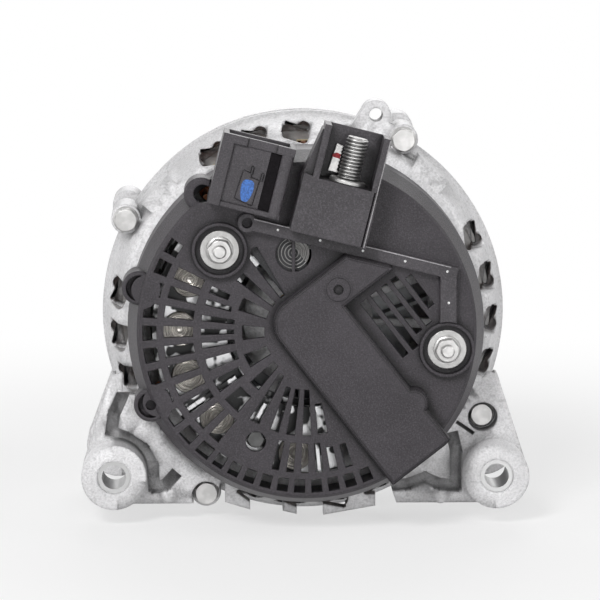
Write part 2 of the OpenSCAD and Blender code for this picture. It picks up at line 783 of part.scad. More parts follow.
block_x = -15.6;
block_w = 27.8;
pocket_x = -10;
pocket_y = 56.4;
pocket_wall = 2.4;
pocket_floor = 1.2;
base_z = cover_z + fit;
stud_x = 0.4;
stud_z = base_z + pocket_floor + 6.9;
strip_w = 12;
strip_t = 2;
strip_x = stud_x - strip_w / 2;
strip_y = 50.2;

module terminal_block() color("#333235") {
    difference() {
        union() {
            block_frame() {
                at_z(base_z) linear_extrude(block_rise - fit) polygon([
                    [block_x, rail_y + rail_w / 2 - fit], [block_x + block_w, rail_y + rail_w / 2 - fit],
                    [block_x + block_w, pocket_y - 4], [block_x, pocket_y + 1]]);
                at_z(base_z) linear_extrude(block_rise - 2) polygon([
                    [block_x, pocket_y - 6], [pocket_x, pocket_y - 6], [pocket_x - 0.4, pocket_y + pocket_len - 2],
                    [pocket_x - pocket_wall - 0.4, pocket_y + pocket_len - 2], [block_x - 0.6, pocket_y - 1]]);
                translate([pocket_x - pocket_wall, pocket_y - 11, base_z])
                    cube([pocket_w + 2 * pocket_wall, 11 + pocket_len, block_rise - fit]);
                translate([pocket_x + pocket_w + pocket_wall, rail_y, base_z]) rotate([90, 0, -90])
                    linear_extrude(pocket_wall) polygon([[0, 0], [-22, 0], [-22, block_rise - 2], [-6, 8]]);
                translate([-30.6, rail_y - rail_w / 2, base_z]) cube([78, rail_w, rail_h]);
                translate([-30.6, rail_y]) rod(3.4, base_z, base_z + rail_h);
            }
            translate([48, 0, base_z]) cube([5.9, 22, rail_h]);
        }
        block_frame() {
            translate([pocket_x, pocket_y, base_z + pocket_floor])
                cube([pocket_w, pocket_len + 1, block_rise + 1]);
            translate([-30.6, rail_y]) rod(1.9, base_z - 1, base_z + rail_h + 1);
            translate([stud_x, pocket_y + 1, stud_z]) rotate([90, 0, 0])
                cylinder(r = stud_r + 0.2, h = 8);
            translate([strip_x - 0.2, strip_y - 0.2, base_z - 1])
                cube([strip_w + 0.4, strip_t + 0.4, block_rise - 2]);
        }
        translate(nut_points[1]) rod(cup_r + seat_gap, base_z - 1, base_z + rail_h + 1);
    }
}

module battery_stud() color("#b9bcbf") {
    block_frame() translate([stud_x, pocket_y, stud_z]) rotate([-90, 0, 0]) {
        rod(stud_r, -5, stud_len - 1);
        at_z(stud_len - 1) cylinder(r1 = stud_r, r2 = stud_r - 1, h = 1);
        rod(6.6, 0, 1.6);
    }
}

module terminal_strip() color("#c9a36b") {
    strip_z0 = pos_sink_z + sink_t;
    block_frame() difference() {
        union() {
            translate([strip_x, strip_y, strip_z0])
                cube([strip_w, strip_t, base_z + block_rise - 3.4 - strip_z0]);
            translate([strip_x, strip_y - 6, strip_z0]) cube([strip_w, 8, 2]);
        }
        translate([stud_x, strip_y + 10, stud_z]) rotate([90, 0, 0])
            cylinder(r = stud_r + fit, h = 14);
    }
}

module plug_socket() color("#2f2e32") {
    wall = socket_wall;
    z0 = socket_top_z - socket_t;
    block_frame() difference() {
        union() {
            translate([socket_x, socket_y, z0]) cube([socket_w, socket_len, socket_t - panel_d]);
            translate([socket_x, socket_y, z0]) cube([pillar_w, socket_len, socket_t]);
            translate([socket_x + socket_w - pillar_w, socket_y, z0])
                cube([pillar_w, socket_len, socket_t - 1]);
            translate([socket_x, socket_y, z0]) cube([socket_w, 1.8, socket_t - 0.4]);
            translate([socket_x, socket_y + socket_len - 3, z0]) cube([socket_w, 3, socket_t]);
            translate([socket_x + socket_w - 2.3, socket_y + socket_len, socket_top_z - 2.3])
                rotate([90, 0, 0]) cylinder(r = 2.3, h = socket_len);
        }
        translate([socket_x + wall, socket_y + 7, z0 + wall])
            cube([socket_w - 2 * wall, socket_len, socket_t - 2 * wall - panel_d]);
        translate([socket_x + 8.8, socket_y + 3.2, socket_top_z - panel_d - 0.5]) cube([8, 9.6, 1]);
        translate([socket_x + 9, socket_y + socket_len - 4.2, socket_top_z - 1]) cube([11, 6, 2]);
        for (i = [-1:1]) translate([socket_x + socket_w / 2 + 5 * i, socket_y + 8, pin_z])
            rotate([90, 0, 0]) translate([-0.5, -1.2, -1]) cube([1, 2.4, 7]);
    }
}

panel_d = 1.5;
pillar_w = 4.4;
pin_z = socket_top_z - socket_t / 2 - 1;

module socket_pins() color("#d8c37a") {
    block_frame() for (i = [-1:1])
        translate([socket_x + socket_w / 2 + 5 * i - 0.4, socket_y + 2.4, pin_z - 1.1])
            cube([0.8, 16, 2.2]);
}

module cover_studs() color("#b5b8bb") {
    for (p = nut_points) translate(p) rod(2.45, plate_in_z + 0.5, cover_z + 8);
}

module cover_washers() color("#c3c6c9") {
    for (p = nut_points) translate(p) tube(7, 2.7, cover_z, cover_z + 1.2);
}

module cover_nuts() color("#b2b5b8") {
    for (p = nut_points) translate(p) difference() {
        union() {
            hexagon(8, cover_z + 1.2, cover_z + 5.6);
            rod(5, cover_z + 1.2, cover_z + 2);
        }
        rod(2.5, cover_z, cover_z + 9);
    }
}

// Rectifier

module horseshoe(r_in, r_out, z0, z1, from = horse_start) {
    sector(r_in, r_out, from, horse_end, z0, z1);
}

module sink_holes(z0, z1) {
    translate(nut_points[0]) rod(3.4, z0, z1);
    for (p = screw_points) translate(p) rod(2.4, z0, z1);
}

module negative_heat_sink() color("#b9bcc2") {
    difference() {
        horseshoe(sink_in_r, sink_r, neg_sink_z, neg_sink_z + sink_t);
        for (a = neg_diode_angles) translate(polar(diode_pcr, a))
            rod(diode_r + fit, neg_sink_z - 1, neg_sink_z + 6);
        sink_holes(neg_sink_z - 1, neg_sink_z + 6);
    }
}

module positive_heat_sink() color("#c2c5ca") {
    fin_h = 3.6;
    difference() {
        union() {
            horseshoe(sink_in_r, sink_r - 1, pos_sink_z, pos_sink_z + sink_t, strip_start);
            for (a = [fin_start:6.8:horse_end - 4])
                if (min([for (d = pos_diode_angles) apart(a, d)]) > 9.4)
                    rotate([0, 0, a]) translate([sink_in_r + 2, -0.7, pos_sink_z])
                        cube([sink_r - sink_in_r - 5, 1.4, sink_t + fin_h]);
        }
        for (a = pos_diode_angles) translate(polar(diode_pcr, a))
            rod(diode_r + fit, pos_sink_z - 1, pos_sink_z + 9);
        translate(nut_points[0]) rod(6, pos_sink_z + sink_t, pos_sink_z + 9);
        for (p = screw_points) translate(p) rod(5.4, pos_sink_z + sink_t, pos_sink_z + 9);
        sink_holes(pos_sink_z - 1, pos_sink_z + 9);
        block_frame() translate([strip_x - 1, 42, pos_sink_z + sink_t]) cube([strip_w + 2, 12, 9]);
    }
}

module diode(flip) {
    mirror([0, 0, flip ? 1 : 0]) {
        rod(diode_r, -1.2, sink_t + 1);
        rod(diode_r - 1.4, sink_t + 1, sink_t + 1.8);
        rod(0.7, sink_t + 1.8, sink_t + (flip ? 2.8 : 4.8));
    }
}

module negative_diodes() color("#a9acaf") {
    for (a = neg_diode_angles) translate(polar(diode_pcr, a)) at_z(neg_sink_z) diode(false);
}

module positive_diodes() color("#b3b6b9") {
    for (a = pos_diode_angles) translate(polar(diode_pcr, a)) at_z(pos_sink_z + sink_t) diode(true);
}

module phase_board() color("#5b4a38") {
    difference() {
        horseshoe(sink_in_r + 1, sink_r - 0.5, board_z, board_z + board_t);
        for (a = concat(neg_diode_angles, pos_diode_angles)) translate(polar(diode_pcr, a))
            rod(0.9, board_z - 1, board_z + 9);
        sink_holes(board_z - 1, board_z + 9);
    }
}

module stud_bushes() color("#8d6b45") {
    translate(nut_points[0]) {
        tube(5.6, 2.7, neg_sink_z + sink_t, board_z);
        tube(5.6, 2.7, board_z + board_t, pos_sink_z);
        tube(5.6, 2.7, pos_sink_z + sink_t, cover_in_z);
    }
    for (p = screw_points) translate(p) {
        tube(4.6, 2.2, neg_sink_z + sink_t, board_z);
        tube(4.6, 2.2, board_z + board_t, pos_sink_z);
    }
}

module rectifier_screws() color("#b0b3b6") {
    for (p = screw_points) translate(p) {
        rod(1.95, plate_in_z, pos_sink_z + sink_t + 1);
        hexagon(5.5, pos_sink_z + sink_t, pos_sink_z + sink_t + 3.4);
        rod(3.5, pos_sink_z + sink_t, pos_sink_z + sink_t + 0.8);
    }
}

// Regulator and brushes

brush_z = [slip_z + ring_w / 2 + ring_gap / 2, slip_z + 1.5 * ring_w + 1.5 * ring_gap];
brush_t = ring_w - 0.6;
brush_start = ring_r + seat_gap;
channel_end = brush_start + brush_len + spring_len;
holder_z0 = boss_top_z + seat_gap;
holder_z1 = shaft_end_z + 1.4;

module brush_holder() color("#4a3a30") {
    dome_frame() difference() {
        union() {
            rod(ring_r + 3.4, holder_z0, min(holder_z1, cover_in_z - 0.4));
            translate([0, -6, holder_z0]) cube([channel_end + 2, 12, holder_z1 - holder_z0]);
        }
        rod(ring_r + 1, holder_z0 - 1, holder_z1 + 1);
        for (z = brush_z) translate([0, -brush_w / 2 - brush_play, z - brush_t / 2 - brush_play])
            cube([channel_end, brush_w + 2 * brush_play, brush_t + 2 * brush_play]);
    }
}

module brush(z) {
    dome_frame() difference() {
        translate([0, -brush_w / 2, z - brush_t / 2]) cube([brush_start + brush_len, brush_w, brush_t]);
        rod(brush_start, z - ring_w, z + ring_w);
    }
}

module outer_brush() color("#4b4644") {
    brush(brush_z[1]);
}

module inner_brush() color("#4b4644") {
    brush(brush_z[0]);
}

// Wire of a coil spring: rings of points round a helix, joined into one closed skin
module coil_spring(turn, wire, length, coils) {
    steps = coils * 14;
    sides = 6;
    rise = length - 2 * wire;
    points = [for (i = [0:steps]) for (j = [0:sides - 1])
        let (a = 360 * i * coils / steps, b = 360 * j / sides, r = turn + wire * cos(b))
        [r * cos(a), r * sin(a), wire + rise * i / steps + wire * sin(b)]];
    skin = [for (i = [0:steps - 1]) for (j = [0:sides - 1])
        let (k = (j + 1) % sides)
        [i * sides + j, i * sides + k, (i + 1) * sides + k, (i + 1) * sides + j]];
    first_end = [for (j = [sides - 1:-1:0]) j];
    last_end = [for (j = [0:sides - 1]) steps * sides + j];
    polyhedron(points = points, faces = concat(skin, [first_end], [last_end]), convexity = 6);
}

module brush_spring(z) {
    dome_frame() translate([brush_start + brush_len + 0.02, 0, z]) rotate([0, 90, 0])
        coil_spring(1.9, 0.35, spring_len - 0.04, 7);
}

module outer_brush_spring() color("#cfd1d3") {
    brush_spring(brush_z[1]);
}

module inner_brush_spring() color("#cfd1d3") {
    brush_spring(brush_z[0]);
}

module regulator() color("#2c2b2e") {
    z0 = holder_z1 + fit;
    z1 = dome_z - cover_t - 0.6;
    arm_z = pos_sink_z + sink_t + 1.9;
    arm_t = cover_in_z - arm_z - 0.2;
    root_x = channel_end + 2.2;
    difference() {
        union() {
            dome_frame() {
                translate([-6.8, -6.4, z0]) cube([60.8, 20, z1 - z0]);
                translate([-8, 1.5, arm_z]) cube([7, 12, z0 + 1 - arm_z]);
                translate([-42, 1.5, arm_z]) cube([36, 13.5, arm_t]);
                translate([root_x, -6.2, rear_depth]) cube([12, 18, z1 - rear_depth]);
            }
            block_frame() translate([socket_x + 4, socket_y - 10, arm_z])
                cube([socket_w - 8, 9.9, arm_t]);
        }
        at_z(arm_z - 1) linear_extrude(holder_z1 + seat_gap + 1 - arm_z) {
            circle(r = ring_r + 3.8);
            dome_frame() translate([-2, -8]) square([channel_end + 4.2, 14.4]);
        }
    }
}

// Rotor

module claw_pole() {
    arm_w = claw_root_w - 1;
    difference() {
        union() {
            rod(disc_r, 0, pole_disc_t);
            for (i = [0:claw_count - 1]) rotate([0, 0, i * 360 / claw_count]) {
                intersection() {
                    rod(rotor_r, 0, pole_disc_t);
                    translate([20, -arm_w / 2, 0]) cube([40, arm_w, pole_disc_t]);
                }
                intersection() {
                    rotate_extrude() polygon([
                        [claw_in_root, 0], [rotor_r - 1.5, 0], [rotor_r, 1.5],
                        [rotor_r, rotor_len - 2], [claw_in_tip, rotor_len - 2],
                        [claw_in_root, pole_disc_t]]);
                    rotate([90, 0, 90]) linear_extrude(60) polygon([
                        [-claw_root_w / 2, 0], [claw_root_w / 2, 0],
                        [claw_root_w / 2, pole_disc_t - 2],
                        [claw_tip_w / 2, rotor_len - 2], [-claw_tip_w / 2, rotor_len - 2],
                        [-claw_root_w / 2, pole_disc_t - 2]]);
                }
            }
        }
        rod(shaft_r + 0.02, -1, pole_disc_t + 1);
    }
}

module rear_claw_pole() color("#77787c") {
    at_z(rotor_top_z) mirror([0, 0, 1]) claw_pole();
}

module front_claw_pole() color("#77787c") {
    at_z(rotor_bot_z) rotate([0, 0, 180 / claw_count]) claw_pole();
}

coil_top_z = rotor_top_z - pole_disc_t;
coil_bot_z = rotor_bot_z + pole_disc_t;

module coil_bobbin() color("#d9d3c2") {
    rotate_extrude() polygon([
        [shaft_r + 0.02, coil_bot_z + fit], [coil_r, coil_bot_z + fit],
        [coil_r, coil_bot_z + 1.5], [18, coil_bot_z + 1.5],
        [18, coil_top_z - 1.5], [coil_r, coil_top_z - 1.5],
        [coil_r, coil_top_z - fit], [shaft_r + 0.02, coil_top_z - fit]]);
}

module field_coil() color("#a4562a") {
    rotate_extrude() translate([18.05, coil_bot_z + 1.55])
        square([coil_r - 18.55, coil_top_z - coil_bot_z - 3.1]);
}

module fan(blades, lean) {
    plate = 1.4;
    difference() {
        rod(fan_r - 8, 0, plate);
        rod(shaft_r + 0.02, -1, plate + 1);
    }
    for (i = [0:blades - 1]) rotate([0, 0, i * 360 / blades])
        translate([fan_r - 20, 0, 0]) rotate([0, 0, lean])
            translate([0, -0.7, 0]) cube([19, 1.4, blade_h]);
}

module rear_fan() color("#8f9296") {
    at_z(rotor_top_z + fit) fan(rear_blades, 22);
}

module front_fan() color("#8f9296") {
    at_z(rotor_bot_z - fit) mirror([0, 0, 1]) fan(front_blades, 22);
}

module rotor_shaft() color("#9a9da1") {
    rod(rear_journal_r - 0.02, rear_bearing_z, rear_bearing_z + rear_bearing_w + 1);
    rod(shaft_r - 0.02, pulley_bot_z + 6, rear_bearing_z);
    rod(ring_r - 3.2, rear_bearing_z, shaft_end_z);
    rod(shaft_r - 0.6, shaft_tip_z, pulley_bot_z + 7);
}

module slip_ring_core() color("#7b2f22") {
    rotate_extrude() polygon([
        [ring_r - 3.15, slip_z - 1], [ring_r + 0.5, slip_z - 1],
        [ring_r + 0.5, slip_z + ring_gap / 2 - fit], [ring_r - 1.2, slip_z + ring_gap / 2 - fit],
        [ring_r - 1.2, slip_z + ring_gap / 2 + ring_w + fit],
        [ring_r + 0.3, slip_z + ring_gap / 2 + ring_w + fit],
        [ring_r + 0.3, slip_z + 1.5 * ring_gap + ring_w - fit],
        [ring_r - 1.2, slip_z + 1.5 * ring_gap + ring_w - fit],
        [ring_r - 1.2, slip_z + 1.5 * ring_gap + 2 * ring_w + fit],
        [ring_r - 3.15, slip_z + 1.5 * ring_gap + 2 * ring_w + fit]]);
}

module slip_rings() color("#c98a4b") {
    for (z = brush_z) tube(ring_r, ring_r - 1.15, z - ring_w / 2, z + ring_w / 2);
}

// Bearings: the two rings share a race whose section is a circle

function race_r(r_in, r_out) = (r_in + r_out) / 2;
function ball_r(r_in, r_out) = (r_out - r_in) * 0.27;

module race(r_in, r_out, w) {
    rotate_extrude() translate([race_r(r_in, r_out), w / 2])
        circle(r = ball_r(r_in, r_out) + ball_play);
}

module outer_ring(r_in, r_out, w) {
    difference() {
        tube(r_out, race_r(r_in, r_out) + 0.55 * ball_r(r_in, r_out), 0, w);
        race(r_in, r_out, w);
    }
}

module inner_ring(r_in, r_out, w) {
    difference() {
        tube(race_r(r_in, r_out) - 0.55 * ball_r(r_in, r_out), r_in, 0, w);
        race(r_in, r_out, w);
    }
}

module balls(r_in, r_out, w) {
    for (i = [0:ball_count - 1])
        translate(polar(race_r(r_in, r_out), i * 360 / ball_count)) at_z(w / 2)
            sphere(r = ball_r(r_in, r_out));
}

module cage(r_in, r_out, w) {
    m = race_r(r_in, r_out);
    b = ball_r(r_in, r_out);
    difference() {
        tube(m + 0.3 * b, m - 0.3 * b, w / 2 - 0.7 * b, w / 2 + 1.25 * b);
        for (i = [0:ball_count - 1]) translate(polar(m, i * 360 / ball_count)) at_z(w / 2)
            sphere(r = b + fit);
    }
}

module front_bearing_at() {
    at_z(front_bearing_z) children();
}

module rear_bearing_at() {
    at_z(rear_bearing_z) children();
}

module front_bearing_outer() color("#a7aaae") {
    front_bearing_at() outer_ring(shaft_r, front_bearing_r, front_bearing_w);
}

module front_bearing_inner() color("#a7aaae") {
    front_bearing_at() inner_ring(shaft_r, front_bearing_r, front_bearing_w);
}

module front_bearing_balls() color("#d5d7d9") {
    front_bearing_at() balls(shaft_r, front_bearing_r, front_bearing_w);
}

module front_bearing_cage() color("#8a6f3c") {
    front_bearing_at() cage(shaft_r, front_bearing_r, front_bearing_w);
}

module rear_bearing_outer() color("#a7aaae") {
    rear_bearing_at() outer_ring(rear_journal_r, rear_bearing_r, rear_bearing_w);
}

module rear_bearing_inner() color("#a7aaae") {
    rear_bearing_at() inner_ring(rear_journal_r, rear_bearing_r, rear_bearing_w);
}

module rear_bearing_balls() color("#d5d7d9") {
    rear_bearing_at() balls(rear_journal_r, rear_bearing_r, rear_bearing_w);
}

module rear_bearing_cage() color("#8a6f3c") {
    rear_bearing_at() cage(rear_journal_r, rear_bearing_r, rear_bearing_w);
}

module rear_bearing_sleeve() color("#3d4a3c") {
    tube(rear_bearing_r + sleeve_t, rear_bearing_r + fit, rear_bearing_z,
        rear_bearing_z + rear_bearing_w - 0.2);
}

retainer_r = front_bearing_r + 3.6;
retainer_hole_pcr = front_bearing_r + 5;
retainer_t = 1.6;

module bearing_retainer() color("#a3a6aa") {
    difference() {
        union() {
            rod(retainer_r, front_in_z, front_in_z + retainer_t);
            for (a = [0:90:270]) translate(polar(retainer_hole_pcr, a + 45))
                rod(4.2, front_in_z, front_in_z + retainer_t);
        }
        rod(front_bearing_r - 4.5, front_in_z - 1, front_in_z + 3);
        for (a = [0:90:270]) translate(polar(retainer_hole_pcr, a + 45))
            rod(2.2, front_in_z - 1, front_in_z + 3);
    }
}

module retainer_screws() color("#b0b3b6") {
    for (a = [0:90:270]) translate(polar(retainer_hole_pcr, a + 45)) {
        rod(1.95, front_face_z, front_in_z + retainer_t);
        rod(3.4, front_in_z + retainer_t, front_in_z + retainer_t + 1.6);
    }
}

module spacer_collar() color("#909397") {
    tube(12, shaft_r + 0.02, front_bearing_z + front_bearing_w + fit,
        rotor_bot_z - 1.4 - 2 * fit);
}

// Pulley

module pulley() color("#6d7074") {
    groove_top = rib_pitch * 0.44;
    first_z = pulley_rim_z - 3 - rib_pitch / 2;
    difference() {
        union() {
            rod(14, pulley_rim_z - 10, pulley_top_z - fit);
            rod(pulley_r, pulley_bot_z, pulley_rim_z);
        }
        for (i = [0:rib_count - 1]) at_z(first_z - i * rib_pitch) rotate_extrude() polygon([
            [pulley_r + 1, groove_top + 0.35], [pulley_r - rib_depth, 0.3],
            [pulley_r - rib_depth, -0.3], [pulley_r + 1, -groove_top - 0.35]]);
        rod(pulley_r - 6.5, pulley_bot_z - 1, pulley_bot_z + 6);
        rod(shaft_r + 0.02, pulley_bot_z, pulley_top_z + 1);
    }
}

module pulley_nut() color("#b4b7ba") {
    difference() {
        union() {
            hexagon(nut_af, nut_z, nut_z + nut_t - 1.5);
            rod(nut_af / 2 + 2, nut_z + nut_t - 1.5, nut_z + nut_t - fit);
        }
        rod(shaft_r - 0.58, nut_z - 1, nut_z + nut_t + 1);
    }
}

// Fasteners

module through_bolts() color("#b7babd") {
    at_bolts() {
        rod(bolt_r - 0.03, front_rim_z - 17, bolt_seat_z);
        rod(4.8, bolt_seat_z, bolt_seat_z + 1.4);
        hexagon(bolt_af, bolt_seat_z + 1.4, bolt_seat_z + 5);
    }
}

module mount_bushes() color("#9fa2a6") {
    at_ears() tube(ear_bore_r + bush_wall - 0.02, ear_bore_r,
        rear_ear_in_z, rear_ear_z - bush_inset);
}

stand() rear_bracket();
stand() front_bracket();
stand() stator_core();
stand() stator_winding();
stand() slot_liners();
stand() phase_leads();
stand() rear_cover();
stand() terminal_block();
stand() plug_socket();
stand() socket_pins();
stand() battery_stud();
stand() terminal_strip();
stand() cover_nuts();
stand() cover_washers();
stand() cover_studs();
stand() stud_bushes();
stand() rectifier_screws();
stand() positive_heat_sink();
stand() negative_heat_sink();
stand() positive_diodes();
stand() negative_diodes();
stand() phase_board();
stand() regulator();
stand() brush_holder();
stand() outer_brush();
stand() inner_brush();
stand() outer_brush_spring();
stand() inner_brush_spring();
stand() slip_rings();
stand() slip_ring_core();
stand() rotor_shaft();
stand() rear_claw_pole();
stand() front_claw_pole();
stand() coil_bobbin();
stand() field_coil();
stand() rear_fan();
stand() front_fan();
stand() front_bearing_outer();
stand() front_bearing_inner();
stand() front_bearing_balls();
stand() front_bearing_cage();
stand() rear_bearing_outer();
stand() rear_bearing_inner();
stand() rear_bearing_balls();
stand() rear_bearing_cage();
stand() rear_bearing_sleeve();
stand() bearing_retainer();
stand() retainer_screws();
stand() spacer_collar();
stand() pulley();
stand() pulley_nut();
stand() through_bolts();
stand() mount_bushes();
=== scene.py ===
"""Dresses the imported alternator: a finish for every solid, fine pieces, floor, lamps and camera."""
import json
import math

import bmesh
import bpy
import numpy as np
from bpy.props import FloatProperty, FloatVectorProperty, IntProperty, PointerProperty
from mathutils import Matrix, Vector


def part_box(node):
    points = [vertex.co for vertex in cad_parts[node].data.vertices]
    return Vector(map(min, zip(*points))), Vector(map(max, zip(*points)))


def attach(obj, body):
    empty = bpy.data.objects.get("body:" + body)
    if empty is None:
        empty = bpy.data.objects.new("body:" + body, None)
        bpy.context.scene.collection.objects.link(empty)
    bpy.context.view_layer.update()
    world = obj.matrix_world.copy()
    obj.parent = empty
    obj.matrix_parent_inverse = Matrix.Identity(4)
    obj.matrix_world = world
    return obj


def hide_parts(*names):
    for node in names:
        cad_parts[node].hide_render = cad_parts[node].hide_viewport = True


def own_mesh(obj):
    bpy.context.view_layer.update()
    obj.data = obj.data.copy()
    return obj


bl_info = {
    "name": "Alternator",
    "version": (1, 0, 0),
    "blender": (4, 5, 0),
    "location": "View3D > Sidebar > Alternator",
    "description": "Finishes and fine pieces of a car alternator around its packed solids",
    "category": "Object",
}

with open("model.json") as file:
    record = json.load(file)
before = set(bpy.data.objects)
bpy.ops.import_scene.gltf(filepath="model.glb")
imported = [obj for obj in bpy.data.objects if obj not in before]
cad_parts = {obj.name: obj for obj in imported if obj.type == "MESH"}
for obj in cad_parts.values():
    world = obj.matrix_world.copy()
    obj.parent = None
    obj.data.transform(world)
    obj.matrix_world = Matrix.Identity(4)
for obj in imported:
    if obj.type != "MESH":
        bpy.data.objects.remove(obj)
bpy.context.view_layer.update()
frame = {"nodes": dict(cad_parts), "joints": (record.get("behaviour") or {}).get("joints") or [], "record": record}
NODES = frame["nodes"]

# The shaft's height and the rear bracket's open rim, which is the drawing's datum. The rim stands over
# the core's rear end by the overlap. Both are in millimetres along the row's axes.
CORE_OVERLAP = 6
SHAFT_Z = frame["joints"][0]["pos_m"][2] * 1000
RIM_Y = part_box("stator_core")[0][1] * 1000 + CORE_OVERLAP

# In the drawing's degrees, counted from the right: the terminals' tilt, the through bolts, the
# diodes and the two edge caps with a crescent slot
TILT = -14.0
BOLT_ANGLES = (61, 151, 241, 331)
DIODE_ANGLES = (110, 157, 180, 202, 225, 265)
CAP_ANGLES = (165.4, 205.5)

# Camera and the point it looks at, in the drawing's millimetres, as solved from the photograph
CAMERA_PLACE = (-35.5, 201.6, 1410.92)
CAMERA_TARGET = (-1.67, 6.74, 25)

# Name, place and size in metres, and power as a share of the side lamps' power; the key lamp has
# its own
LAMPS = (("lamp_key", (-0.42, -1.15, 0.85), 0.4, None),
         ("lamp_front", (0.25, -1.5, 0.12), 0.35, 1.8),
         ("lamp_left", (-1.1, -0.25, 0.35), 0.5, 1.0),
         ("lamp_right", (1.1, -0.25, 0.65), 0.5, 1.4),
         ("lamp_back", (0.1, 1.2, 0.9), 0.9, 2.8))
LAMP_TARGET = Vector((0, 0, 0.07))
WORLD_LEVEL = 0.14


# ---------------------------------------------------------------- settings

class StageSettings(bpy.types.PropertyGroup):
    """Camera, lamps and floor."""
    lens: FloatProperty(name="Lens", description="Focal length of the camera, in millimetres",
                        default=227.0)
    key_power: FloatProperty(name="Key lamp", description="Power of the large lamp above",
                             default=13.0, unit="POWER")
    side_power: FloatProperty(name="Side lamps", default=2.5, unit="POWER",
                              description="Power of the left lamp; front, right and back follow it")
    floor_colour: FloatVectorProperty(name="Floor", description="Colour of the floor", subtype="COLOR",
                                      default=(0.86, 0.86, 0.86))


class MetalSettings(bpy.types.PropertyGroup):
    """Colours and grain of the metal pieces."""
    cast_colour: FloatVectorProperty(name="Casting", description="Colour of the blasted castings",
                                     subtype="COLOR", default=(0.68, 0.675, 0.685))
    grain: FloatProperty(name="Blast grain", description="Size of the grain that blasting leaves",
                         default=0.0008, unit="LENGTH")
    zinc_colour: FloatVectorProperty(name="Zinc", description="Colour of zinc-plated bolts and nuts",
                                     subtype="COLOR", default=(0.46, 0.455, 0.45))
    steel_colour: FloatVectorProperty(name="Steel", description="Colour of bare turned steel",
                                      subtype="COLOR", default=(0.50, 0.50, 0.50))
    copper_colour: FloatVectorProperty(name="Copper", description="Colour of enamelled winding wire",
                                       subtype="COLOR", default=(0.46, 0.17, 0.07))
    sink_colour: FloatVectorProperty(name="Heat sink", description="Colour of the pressed heat sinks",
                                     subtype="COLOR", default=(0.70, 0.70, 0.71))


class PlasticSettings(bpy.types.PropertyGroup):
    """Colours and grain of the moulded pieces."""
    cover_colour: FloatVectorProperty(name="Cover", description="Colour of the rear cover",
                                      subtype="COLOR", default=(0.040, 0.036, 0.041))
    block_colour: FloatVectorProperty(name="Terminal block", subtype="COLOR",
                                      description="Colour of the terminals' plastic",
                                      default=(0.050, 0.046, 0.051))
    mould_grain: FloatProperty(name="Mould grain", description="Size of the moulded grain",
                               default=0.00055, unit="LENGTH")
    blue_colour: FloatVectorProperty(name="Blue dab", subtype="COLOR",
                                     description="Colour of the paint dab in the socket",
                                     default=(0.035, 0.13, 0.42))


class DetailSettings(bpy.types.PropertyGroup):
    """Sizes of the fine pieces."""
    thread_pitch: FloatProperty(name="Stud pitch", description="Pitch of the battery stud's thread",
                                default=0.00125, unit="LENGTH")
    small_pitch: FloatProperty(name="Fine pitch", description="Pitch of the cover studs' thread",
                               default=0.0008, unit="LENGTH")
    wire_radius: FloatProperty(name="Wire", description="Radius of one winding wire",
                               default=0.000975, unit="LENGTH")
    wire_layers: IntProperty(name="Layers", description="Layers of wire in each slot", default=4)


# ---------------------------------------------------------------- shader maths

class Wire:
    """A shader socket that takes part in sums: each operator adds one Math node."""

    def __init__(self, bench, socket):
        self.bench = bench
        self.socket = socket

    def sum(self, operation, other, swap=False):
        pair = {0: other, 1: self} if swap else {0: self, 1: other}
        return self.bench.add("ShaderNodeMath", {"operation": operation}, pair)

    def __add__(self, other):
        return self.sum("ADD", other)

    __radd__ = __add__

    def __sub__(self, other):
        return self.sum("SUBTRACT", other)

    def __rsub__(self, other):
        return self.sum("SUBTRACT", other, swap=True)

    def __mul__(self, other):
        return self.sum("MULTIPLY", other)

    def __truediv__(self, other):
        return self.sum("DIVIDE", other)

    def step(self, low, high):
        """0 below low, 1 above high and smooth between."""
        return self.bench.add("ShaderNodeMapRange", {"interpolation_type": "SMOOTHSTEP"},
                              {0: self, 1: low, 2: high, 3: 0.0, 4: 1.0})


